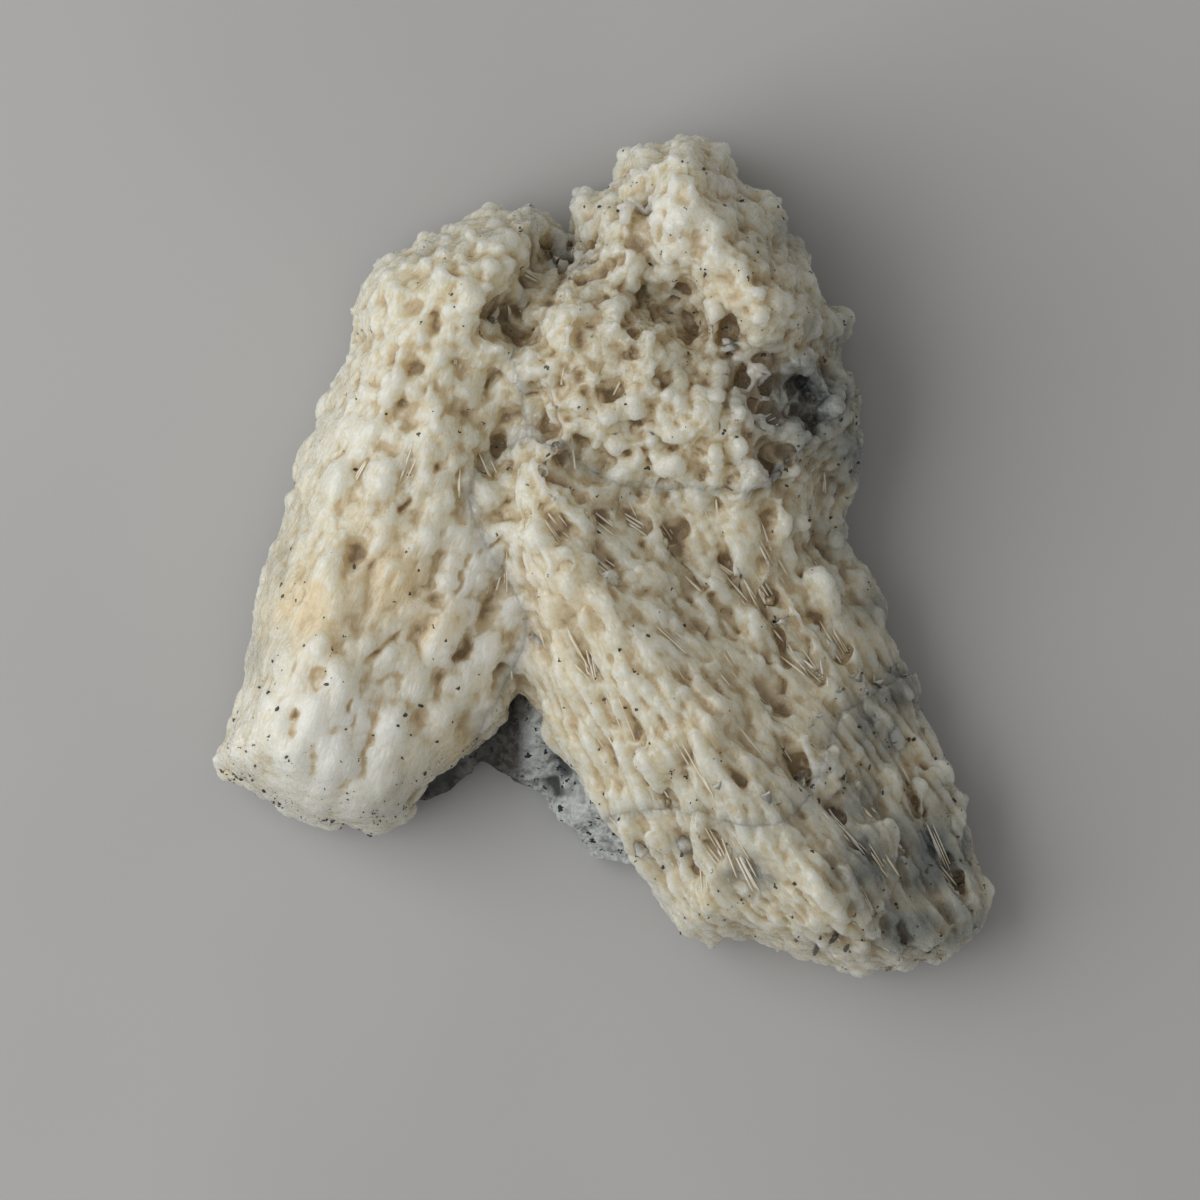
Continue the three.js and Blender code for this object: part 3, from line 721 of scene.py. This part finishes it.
def on_the_face(pixels, lift):
    """Places that show at these pixels of the photograph and stand this far over the face."""
    plan = unseen(pixels, np.full(len(pixels), EDGE_LEVEL))
    height = np.nan_to_num(read_columns(column_top, plan), nan=EDGE_LEVEL)
    height = np.nan_to_num(read_columns(column_top, unseen(pixels, height)), nan=EDGE_LEVEL)
    return np.column_stack([unseen(pixels, height), height + lift])


lone = np.array(LONE_CRYSTALS, float)
lone_root = on_the_face(lone[:, 0:2], lone[:, 5] + LONE_TILT[0])
lone_tip = on_the_face(lone[:, 2:4], lone[:, 5] + LONE_TILT[1])
bunch = np.repeat(np.arange(len(BUNCHES)), [number for _, _, number, _ in BUNCHES])
bunch_at, bunch_reach, _, bunch_thick = (np.array(column, float) for column in zip(*BUNCHES))
knob_at = bunch_at[bunch] + bunch_reach[bunch][:, None] * rng.normal(size=(len(bunch), 2))
knob_thick = bunch_thick[bunch] * rng.uniform(*KNOB_SIZES, len(bunch))
knob_tip = on_the_face(knob_at, KNOB_LIFT + rng.uniform(size=len(bunch)))
knob_way = unit(rng.normal(size=(len(bunch), 3)) * 0.5 + (0, 0, 1))
knob_root = knob_tip - knob_thick[:, None] * knob_way * 2
extra_root = np.concatenate([lone_root, knob_root])
extra_tip = np.concatenate([lone_tip, knob_tip])
extra_shares = body_shares(zone_weights(extra_root[:, :2]))
root = np.concatenate([root, extra_root])
tip = np.concatenate([tip, extra_tip])
thick = np.concatenate([thick, lone[:, 4], knob_thick])
egg_shares = np.concatenate([egg_shares, extra_shares])
bud_shares = egg_shares[mother]
proud = np.concatenate([proud, np.full(len(extra_shares), UNPRESSED)])
column_shares = body_shares(column_weights)


def pressed(points, allowed):
    """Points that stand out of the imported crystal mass, moved back towards it by
    PRESS * (how far they stand out - what is allowed)."""
    away = points - carried(points, crust, wrap_method="NEAREST_SURFACEPOINT", wrap_mode="INSIDE")
    distance = np.linalg.norm(away, axis=1)
    back = PRESS * np.maximum(distance - allowed, 0) / np.maximum(distance, 1e-6)
    return points - away * back[:, None]


def held_low(points):
    """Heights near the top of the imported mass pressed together: h over the start of that becomes
    reach * (1 - exp(-h / reach)), so none rises further than the reach."""
    start = crust_high[2] - LIMIT_SOFT
    reach = LIMIT_SOFT + LIMIT_PROUD
    over = np.maximum(points[:, 2] - start, 0)
    held = points.copy()
    held[:, 2] = np.where(over > 0, start + reach * (1 - np.exp(-over / reach)), points[:, 2])
    return held


def stood(made, proud):
    """Eggs pressed back to how proud each may stand, off the rock: a row of points for each, and
    the triangles of one."""
    points, faces = made
    size = len(points) // len(proud)
    points = kept_off_the_rock(pressed(points, np.repeat(proud, size)))
    return points.reshape(len(proud), size, 3), faces[:len(faces) // len(proud)]


def together(made, mine):
    """Those of the eggs that are asked for, as one mesh."""
    rows, faces = made
    rows = rows[mine]
    offset = np.arange(len(rows))[:, None, None] * rows.shape[1]
    return rows.reshape(-1, 3), (faces[None] + offset).reshape(-1, 3)


main_eggs = stood(eggs(root, tip, thick, TAPER, rng), proud)
bud_eggs = stood(eggs(bud_root, bud_tip, bud_size, 0.0, rng, 6, 6), bud_proud)


# The bodies of crystal, the fibres, the grains and the rock

# Relief of the skins: height, wave, size and seed. The ridges and the lines are drawn out along
# the growth.
KNOBS = ((0.9, lumps, 6.2, 8), (0.45, lumps, 3.0, 6))
RIDGES = ((0.55, lumps, 3.0, 10), (0.22, lumps, 1.4, 9))
LINES = ((0.15, noise, 2.3, 1), (0.1, lumps, 2.0, 12))
ROCK_RELIEF = ((0.45, noise, 3.2, 11), (0.3, noise, 1.4, 12), (0.15, noise, 0.7, 13))
ROCK_INWARD = 0.3  # how far the rock's skin is pushed in as a whole


def along_growth(points, parts, rows):
    """Relief worked out in each part's own space, which is drawn out along its way by taking off
    DRAWN_OUT of each point's place along it, times the part's share, and added up."""
    total = np.zeros(len(points))
    for number, part in enumerate(PARTS):
        near = parts[:, number] > 0.01
        along = unit(np.array(PART_WAYS[part]))
        drawn = points[near] - DRAWN_OUT[part] * (points[near] @ along)[:, None] * along
        total[near] += parts[near, number] * relief(drawn, rows)
    return total


def set_looks(mesh, name, points, hollow, valley):
    """What the calcite material reads at each vertex: how hollow it lies near and far, its place
    drawn out along the growth, and the patches with wavering edges."""
    along = unit(np.array(PART_WAYS[BODIES[name][0]]))
    set_value(mesh, "hollow", hollow)
    set_value(mesh, "valley", valley)
    set_vector(mesh, "combed", points - 0.75 * (points @ along)[:, None] * along)
    blur = points[:, :2] + 2.5 * np.column_stack([noise(points / 3, 4), noise(points / 3, 5)])
    for look in PATCHES:
        set_value(mesh, look, patch(blur, look))


def crystal_body(number, name):
    """One body of crystal: the block under it, its eggs and their buds, fused and evened. The skin
    is then pushed out by knobs and ridges, no lower than DIP, by lines and fine noise, and pushed
    in by BODY_SINK * (1 - its share) and by the grooves where it faces up. How hollow each point
    lies is how far the averaged skin stands over it."""
    share = column_shares[:, number].reshape(column_shape)
    main = together(main_eggs, egg_shares[:, number] > BODY_OVERLAP)
    small = together(bud_eggs, bud_shares[:, number] > BODY_OVERLAP)
    obj = fused(name, *joined([base_block(share), main, small]), VOXELS[name])
    points, edges, _ = mesh_arrays(obj.data)
    weights = zone_weights(points[:, :2])
    parts = part_shares(weights)
    soft = (parts @ np.array([SOFTENED[part] for part in PARTS]))[:, None]
    points = points * (1 - soft) + averaged(points, edges, EVEN_TIMES) * soft
    set_points(obj.data, points)
    points, _, out = mesh_arrays(obj.data)
    knobby, fibrous = blended(weights, "knobs"), blended(weights, "fine")
    bent = points + 0.7 * np.column_stack([noise(points / 2.4, seed) for seed in (23, 24, 25)])
    push = knobby * relief(bent, KNOBS) + fibrous * along_growth(points, parts, RIDGES)
    push = np.maximum(push, DIP)
    push += along_growth(points, parts, LINES) + 0.05 * noise(points / 0.6, 3)
    push += (0.05 + 0.15 * knobby) * lumps(bent / 1.4, 7)
    push -= BODY_SINK * (1 - body_shares(weights)[:, number])
    push -= groove_depth(points) * smoothstep(out[:, 2], 0.0, 0.4)
    set_points(obj.data, held_low(points + out * push[:, None]))
    points, edges, out = mesh_arrays(obj.data)
    # How hollow each point lies, near and far; the calcite material darkens the hollows by it, partly as
    # painted shade.
    near = averaged(points, edges, NEAR_TIMES)
    far = averaged(near, edges, FAR_TIMES)
    hollow = np.sum((near - points) * out, axis=1)
    valley = np.sum((far - points) * out, axis=1)
    set_looks(obj.data, name, points, hollow, valley)
    return obj, (points, out, hollow, valley)


made = [crystal_body(number, name) for number, name in enumerate(BODIES)]
bodies = [body for body, _ in made]
skin, skin_out, skin_hollow, skin_valley = (
    np.concatenate([values[column] for _, values in made]) for column in range(4)
)
skin_weights = zone_weights(skin[:, :2])
in_view = smoothstep(skin_out[:, 2], -0.2, 0.2)


def picked(chances, number):
    """Vertices of the crystal bodies, picked by the chance of each."""
    return rng.choice(len(skin), number, replace=False, p=chances / chances.sum())


def fibres():
    """Bundles of thin straight rods, side by side along the growth. The chance of a bundle is
    the zones' fine figure, times how deep the place lies, times how much it faces up."""
    deep = smoothstep(skin_hollow, -0.02, 0.12) * smoothstep(skin_valley, 0.0, 0.8)
    chances = blended(skin_weights, "fine") * deep * smoothstep(skin_out[:, 2], 0.3, 0.7)
    chosen = picked(chances, BUNDLES)
    at, out = np.repeat(skin[chosen], RODS, axis=0), np.repeat(skin_out[chosen], RODS, axis=0)
    count = len(at)
    way = skin_weights[chosen] @ np.array([zone["way"] for zone in ZONES], float)
    way = np.repeat(unit(unit(way) + 0.05 * rng.normal(size=way.shape)), RODS, axis=0)
    lean = 0.8 * np.sum(way * out, axis=1)[:, None] * out
    way = unit(way - lean + 0.02 * rng.normal(size=way.shape))
    across = np.cross(way, out)
    spread = ROD_SPREAD * rng.normal(size=(count, 1))
    half = rng.uniform(*ROD_HALVES, (count, 1))
    slide = rng.uniform(-ROD_SLIDE, ROD_SLIDE, (count, 1))
    middle = at + across * spread + way * slide + out * rng.uniform(0.0, ROD_LIFT, (count, 1))
    thick = rng.uniform(*ROD_WIDTHS, count)
    ends = (middle - way * half, middle + way * half)
    over = [end[:, 2] - read_columns(column_top, end[:, :2]) for end in ends]
    lies = (over[0] < ROD_CLEAR) & (over[1] < ROD_CLEAR)
    points, faces = eggs(ends[0][lies], ends[1][lies], thick[lies], 0.0, rng, 4, 4, 0)
    return held_low(kept_off_the_rock(points)), faces


def grains():
    """Small dark lumps sunk in the crystals, and the streaks of metal. The chance of a grain is
    the zones' specks figure, times much more in the swarms, times whether the place faces up."""
    swarm = 0.15 + 5 * smoothstep(noise(skin / 2.5, 8), 0.35, 0.8)
    chosen = picked(blended(skin_weights, "specks") * swarm * in_view, GRAINS)
    size = LEAST_GRAIN + GRAIN_SPREAD * rng.uniform(size=GRAINS) ** 3
    way = unit(rng.normal(size=(GRAINS, 3)))
    axis = way * (size * rng.uniform(*GRAIN_LENGTHS, GRAINS))[:, None]
    middle = skin[chosen] + skin_out[chosen] * GRAIN_LIFT
    streaks = np.array(STREAKS, float)
    starts, ends = on_the_face(streaks[:, :2], STREAK_LIFT), on_the_face(streaks[:, 2:], STREAK_LIFT)
    metal = eggs(starts, ends, np.full(len(starts), STREAK_WIDTH), 0.0, rng, 6, 6)
    return joined([eggs(middle - axis, middle + axis, size, 0.0, rng, 3, 5, 0.4), metal])


def rock_skin():
    """The rock with a rough skin: voxels, then noise of three sizes, less ROCK_INWARD."""
    obj = fused("rock_skin", rock_points, rock_faces, ROCK_VOXEL)
    points, _, out = mesh_arrays(obj.data)
    points = points + out * (relief(points, ROCK_RELIEF) - ROCK_INWARD)[:, None]
    points[:, 2] = np.maximum(points[:, 2], 0)
    set_points(obj.data, points)
    points, edges, out = mesh_arrays(obj.data)
    # How hollow each point lies, which the rock material darkens as painted shade; then painted shade of the
    # notch, darkest left of it.
    set_value(obj.data, "hollow", np.sum((averaged(points, edges, 8) - points) * out, axis=1))
    dark = smoothstep(-points[:, 0], 9.5, 13) * smoothstep(points[:, 1], -60, -40)
    set_value(obj.data, "dark", np.clip(dark + 0.25 * noise(points / 2.5, 14), 0, 1))
    return obj


fibre_mesh = fibres()
grain_mesh = grains()
rock_body = rock_skin()


# Materials

FLOAT = "NodeSocketFloat"
COLOUR = "NodeSocketColor"
VECTOR = "NodeSocketVector"


def node(tree, kind, inputs=None, **settings):
    """A new node with its settings, and its inputs set or linked."""
    made = tree.nodes.new(kind)
    for key, value in settings.items():
        setattr(made, key, value)
    for key, value in (inputs or {}).items():
        if isinstance(value, bpy.types.NodeSocket):
            tree.links.new(value, made.inputs[key])
        else:
            made.inputs[key].default_value = value
    return made


def new_material(name):
    """An empty material and its node tree."""
    material = bpy.data.materials.new(name)
    material.use_nodes = True
    material.node_tree.nodes.clear()
    return material, material.node_tree


def surface(tree, inputs):
    """The shader of a material, with its own values, as its surface."""
    shader = node(tree, "ShaderNodeBsdfPrincipled", inputs)
    node(tree, "ShaderNodeOutputMaterial", {"Surface": shader.outputs[0]})


def group(name, inputs, outputs):
    """An empty shader node group with named sockets, and the sockets its input node gives."""
    tree = bpy.data.node_groups.new(name, "ShaderNodeTree")
    for label, kind in inputs.items():
        tree.interface.new_socket(label, in_out="INPUT", socket_type=kind)
    for label, kind in outputs.items():
        tree.interface.new_socket(label, in_out="OUTPUT", socket_type=kind)
    return tree, node(tree, "NodeGroupInput").outputs


def placed(tree, made_group, inputs):
    """What a node group gives, placed in a material with its own values."""
    return node(tree, "ShaderNodeGroup", inputs, node_tree=made_group).outputs


def mixed(tree, share, first, second):
    """Two colours mixed by a share. A Mix node has its colours at inputs 6 and 7, output 2."""
    inputs = {0: share, 6: first, 7: second}
    return node(tree, "ShaderNodeMix", inputs, data_type="RGBA", clamp_factor=True).outputs[2]


def ranged(tree, value, low, high, start=0.0, end=1.0):
    """A value carried smoothly from one range to another."""
    inputs = {"Value": value, "From Min": low, "From Max": high, "To Min": start, "To Max": end}
    return node(tree, "ShaderNodeMapRange", inputs, interpolation_type="SMOOTHSTEP").outputs[0]


def maths(tree, operation, first, second):
    """Two numbers put together."""
    return node(tree, "ShaderNodeMath", {0: first, 1: second}, operation=operation).outputs[0]


def vectors(tree, operation, first, second):
    """Two vectors put together, or a vector times a number."""
    inputs = {0: first, "Scale" if operation == "SCALE" else 1: second}
    return node(tree, "ShaderNodeVectorMath", inputs, operation=operation).outputs[0]


def attribute(tree, name, output="Fac"):
    """What the script left on each vertex under this name."""
    return node(tree, "ShaderNodeAttribute", attribute_name=name).outputs[output]


def millimetres(tree):
    """Object coordinates in millimetres."""
    place = node(tree, "ShaderNodeTexCoord").outputs["Object"]
    return vectors(tree, "SCALE", place, 1 / MM)


def clouds(tree, vector, scale, detail, **settings):
    """The value of cloudy noise."""
    inputs = {"Vector": vector, "Scale": scale, "Detail": detail, **settings}
    return node(tree, "ShaderNodeTexNoise", inputs).outputs["Fac"]


def mottle_group():
    """Cloudy patches of two colours."""
    tree, given = group(
        "mottle", {"Vector": VECTOR, "Scale": FLOAT, "First": COLOUR, "Second": COLOUR}, {"Color": COLOUR}
    )
    cloud = clouds(tree, given["Vector"], given["Scale"], 2.0, Roughness=0.6)
    share = ranged(tree, cloud, 0.38, 0.62)
    node(tree, "NodeGroupOutput", {"Color": mixed(tree, share, given["First"], given["Second"])})
    return tree


def hollow_group():
    """Colour by depth, which is hollow + 0.3 * valley: the heads that stand highest, the tops, the
    sides of the hollows and their deepest slits. The darker colours of the hollows and slits are
    painted shade; in the calcite they are partly real tan staining too."""
    colours = {name: COLOUR for name in ("Heads", "Tops", "Sides", "Slits")}
    tree, given = group(
        "shade and stain by depth", {"Hollow": FLOAT, "Valley": FLOAT, **colours}, {"Color": COLOUR}
    )
    depth = maths(tree, "ADD", given["Hollow"], maths(tree, "MULTIPLY", given["Valley"], 0.3))
    colour = given["Heads"]
    for name, low, high in (("Tops", -0.6, -0.15), ("Sides", -0.05, 0.35), ("Slits", 0.35, 0.8)):
        colour = mixed(tree, ranged(tree, depth, low, high), colour, given[name])
    node(tree, "NodeGroupOutput", {"Color": colour})
    return tree


def fleck_group():
    """Scattered ragged flecks of many sizes: those cells of a bent Voronoi pattern whose colour
    falls below a share."""
    tree, given = group(
        "dark flecks", {"Vector": VECTOR, "Scale": FLOAT, "Size": FLOAT, "Share": FLOAT}, {"Mask": FLOAT}
    )
    bend = node(tree, "ShaderNodeTexNoise", {"Vector": given["Vector"], "Scale": 1.6, "Detail": 1.0})
    bent = vectors(tree, "ADD", given["Vector"], vectors(tree, "SCALE", bend.outputs["Color"], 1.4))
    cells = node(tree, "ShaderNodeTexVoronoi", {"Vector": bent, "Scale": given["Scale"]})
    chances = node(tree, "ShaderNodeSeparateColor", {0: cells.outputs["Color"]}).outputs
    here = maths(tree, "LESS_THAN", chances[0], given["Share"])
    size = maths(tree, "MULTIPLY", given["Size"], maths(tree, "ADD", 0.4, chances[1]))
    close = maths(tree, "LESS_THAN", cells.outputs["Distance"], size)
    node(tree, "NodeGroupOutput", {"Mask": maths(tree, "MULTIPLY", here, close)})
    return tree


def facet_group():
    """Small flat facets: each cell of a Voronoi pattern tilts the surface its own way."""
    tree, given = group(
        "facets", {"Vector": VECTOR, "Scale": FLOAT, "Tilt": FLOAT}, {"Normal": VECTOR}
    )
    cells = node(tree, "ShaderNodeTexVoronoi", {"Vector": given["Vector"], "Scale": given["Scale"]})
    half = vectors(tree, "SUBTRACT", cells.outputs["Color"], (0.5, 0.5, 0.5))
    tilt = vectors(tree, "SCALE", half, given["Tilt"])
    turned = vectors(tree, "ADD", node(tree, "ShaderNodeNewGeometry").outputs["Normal"], tilt)
    even = node(tree, "ShaderNodeVectorMath", {0: turned}, operation="NORMALIZE").outputs[0]
    node(tree, "NodeGroupOutput", {"Normal": even})
    return tree


mottle = mottle_group()
shade_and_stain_by_depth = hollow_group()
dark_flecks = fleck_group()
facets = facet_group()


def mottled(tree, place, scale, first, second):
    """The colour that the mottle group gives."""
    inputs = {"Vector": place, "Scale": scale, "First": first, "Second": second}
    return placed(tree, mottle, inputs)["Color"]


def flecked(tree, place, scale, size, share):
    """Where the fleck group puts its flecks."""
    inputs = {"Vector": place, "Scale": scale, "Size": size, "Share": share}
    return placed(tree, dark_flecks, inputs)["Mask"]


def calcite_material():
    """Waxy calcite: ivory and white tops, ochre patches, tan hollows and brown slits that are partly real
    staining and partly painted shade, and grey patches that are partly the crystals' own grey and
    partly painted shade on the right flank.
    """
    material, tree = new_material("calcite")
    place = millimetres(tree)
    ochre, grey, white, bright, brown = (attribute(tree, look) for look in PATCHES)
    ivory = mottled(tree, place, 0.17, (0.70, 0.65, 0.49, 1), (0.67, 0.58, 0.39, 1))
    clouded = mottled(tree, place, 0.6, ivory, (0.71, 0.69, 0.57, 1))
    whitened = mixed(tree, white, clouded, (0.88, 0.87, 0.79, 1))
    stained = mixed(tree, ochre, whitened, (0.75, 0.60, 0.37, 1))
    # The brown patches darken the clefts, the trough, the pit and the notch: partly real brown, partly
    # painted shade.
    browned = mixed(tree, maths(tree, "MULTIPLY", brown, 0.5), stained, (0.34, 0.24, 0.13, 1))
    milky = mixed(tree, 0.5, stained, (0.71, 0.73, 0.66, 1))
    tan = mixed(tree, brown, (0.62, 0.51, 0.33, 1), (0.26, 0.18, 0.10, 1))
    # Darker down the hollows and slits: partly real tan staining, partly painted shade. The grey patches
    # darken it further: partly the crystals' own grey, partly painted shade on the right flank.
    coloured = placed(tree, shade_and_stain_by_depth, {
        "Hollow": attribute(tree, "hollow"),
        "Valley": attribute(tree, "valley"),
        "Heads": mixed(tree, grey, milky, (0.18, 0.20, 0.20, 1)),
        "Tops": mixed(tree, grey, browned, (0.15, 0.17, 0.17, 1)),
        "Sides": mixed(tree, grey, tan, (0.09, 0.10, 0.10, 1)),
        "Slits": mixed(tree, grey, (0.36, 0.26, 0.14, 1), (0.03, 0.035, 0.035, 1)),
    })["Color"]
    colour = mixed(tree, flecked(tree, place, 0.55, 0.16, 0.12), coloured, (0.07, 0.055, 0.04, 1))
    dull = ranged(tree, clouds(tree, place, 1.3, 1.0), 0.35, 0.65, 0.18, 0.4)
    roughness = maths(tree, "SUBTRACT", dull, maths(tree, "MULTIPLY", bright, 0.25))
    tilt = maths(tree, "ADD", 0.12, maths(tree, "MULTIPLY", bright, 0.9))
    normal = placed(tree, facets, {"Vector": place, "Scale": 2.2, "Tilt": tilt})["Normal"]
    fine = clouds(tree, attribute(tree, "combed", "Vector"), 1.8, 2.0)
    bump = node(tree, "ShaderNodeBump", {
        "Strength": 0.8, "Distance": 0.0004, "Height": fine, "Normal": normal,
    })
    surface(tree, {
        "Base Color": colour, "Roughness": roughness, "Normal": bump.outputs[0],
        "Subsurface Weight": 0.85, "Subsurface Radius": (1.0, 0.96, 0.88), "Subsurface Scale": 0.01,
    })
    return material


def fibre_material():
    """Pale, slightly glassy fibres."""
    material, tree = new_material("fibres")
    colour = mottled(tree, millimetres(tree), 0.3, (0.85, 0.81, 0.72, 1), (0.74, 0.66, 0.50, 1))
    surface(tree, {"Base Color": colour, "Roughness": 0.28})
    return material


def grain_material():
    """Nearly black grains with a dull metal shine."""
    material, tree = new_material("dark grains")
    colour = mottled(tree, millimetres(tree), 1.5, (0.02, 0.02, 0.018, 1), (0.09, 0.075, 0.055, 1))
    surface(tree, {"Base Color": colour, "Roughness": 0.4})
    return material


def rock_material():
    """Grey-blue rock, speckled black, with painted shade: nearly black in the notch and near black in its
    hollows.
    """
    material, tree = new_material("rock")
    place = millimetres(tree)
    grey = mottled(tree, place, 0.35, (0.46, 0.50, 0.51, 1), (0.24, 0.27, 0.28, 1))
    clouded = mottled(tree, place, 1.2, grey, (0.60, 0.62, 0.61, 1))
    dark = mottled(tree, place, 0.8, (0.035, 0.035, 0.033, 1), (0.10, 0.095, 0.085, 1))
    # Nearly black left of the notch: painted shade.
    tops = mixed(tree, attribute(tree, "dark"), clouded, dark)
    # Near black down the hollows: painted shade.
    coloured = placed(tree, shade_and_stain_by_depth, {
        "Hollow": attribute(tree, "hollow"), "Valley": 0.0, "Heads": tops, "Tops": tops,
        "Sides": (0.06, 0.065, 0.065, 1), "Slits": (0.02, 0.02, 0.02, 1),
    })["Color"]
    colour = mixed(tree, flecked(tree, place, 0.9, 0.33, 0.45), coloured, (0.02, 0.02, 0.02, 1))
    fine = clouds(tree, place, 1.8, 6.0)
    bump = node(tree, "ShaderNodeBump", {"Strength": 0.8, "Distance": 0.0005, "Height": fine})
    roughness = ranged(tree, fine, 0.3, 0.7, 0.55, 0.85)
    surface(tree, {"Base Color": colour, "Roughness": roughness, "Normal": bump.outputs[0]})
    return material


def floor_material():
    """Plain pale board."""
    material, tree = new_material("floor")
    colour = mottled(tree, millimetres(tree), 0.01, (0.45, 0.45, 0.45, 1), (0.47, 0.47, 0.47, 1))
    surface(tree, {"Base Color": colour, "Roughness": 0.7})
    return material


calcite = calcite_material()
for body in bodies:
    body.data.materials.append(calcite)
    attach(body, "root")
    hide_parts("calcite")
for name, arrays, material in (
    ("fibres", fibre_mesh, fibre_material()),
    ("dark grains", grain_mesh, grain_material()),
):
    piece = mesh_object(name.replace(" ", "_"), *arrays, material)
    piece.data.shade_smooth()
    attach(piece, "root")
rock_body.data.materials.append(rock_material())
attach(rock_body, "root")
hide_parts("rock")


# Floor, light and camera

FLOOR_HALF = 1500.0
KEY_DISTANCE = 0.9  # in metres
KEY_SIDE = (-0.75, 0.03, 0.66)  # from the left and above
corners = np.array([(-1, -1), (1, -1), (1, 1), (-1, 1)]) * FLOOR_HALF
floor = mesh_object(
    "floor", np.column_stack([corners, np.zeros(4)]), np.array([(0, 1, 2, 3)]), floor_material()
)

key_light = bpy.data.lights.new("key light", "AREA")
key_light.energy = 6.9
key_light.size = 1.0
key = bpy.data.objects.new("key light", key_light)
key.location = KEY_DISTANCE * Vector(KEY_SIDE).normalized()
key.rotation_euler = key.location.to_track_quat("Z", "Y").to_euler()
bpy.context.scene.collection.objects.link(key)

world = bpy.data.worlds.new("room")
bpy.context.scene.world = world
world.use_nodes = True
background = world.node_tree.nodes["Background"].inputs
background["Color"].default_value = (1, 0.98, 0.95, 1)
background["Strength"].default_value = 0.33

camera_data = bpy.data.cameras.new("camera")
camera_data.sensor_width = SENSOR
camera_data.lens = SENSOR * (CAMERA_HEIGHT - EDGE_LEVEL) / PHOTO_WIDTH
camera = bpy.data.objects.new("camera", camera_data)
camera.location = (PHOTO_MIDDLE[0] * MM, PHOTO_MIDDLE[1] * MM, CAMERA_HEIGHT * MM)
bpy.context.scene.collection.objects.link(camera)
bpy.context.scene.camera = camera
bpy.context.scene.view_settings.view_transform = "Standard"
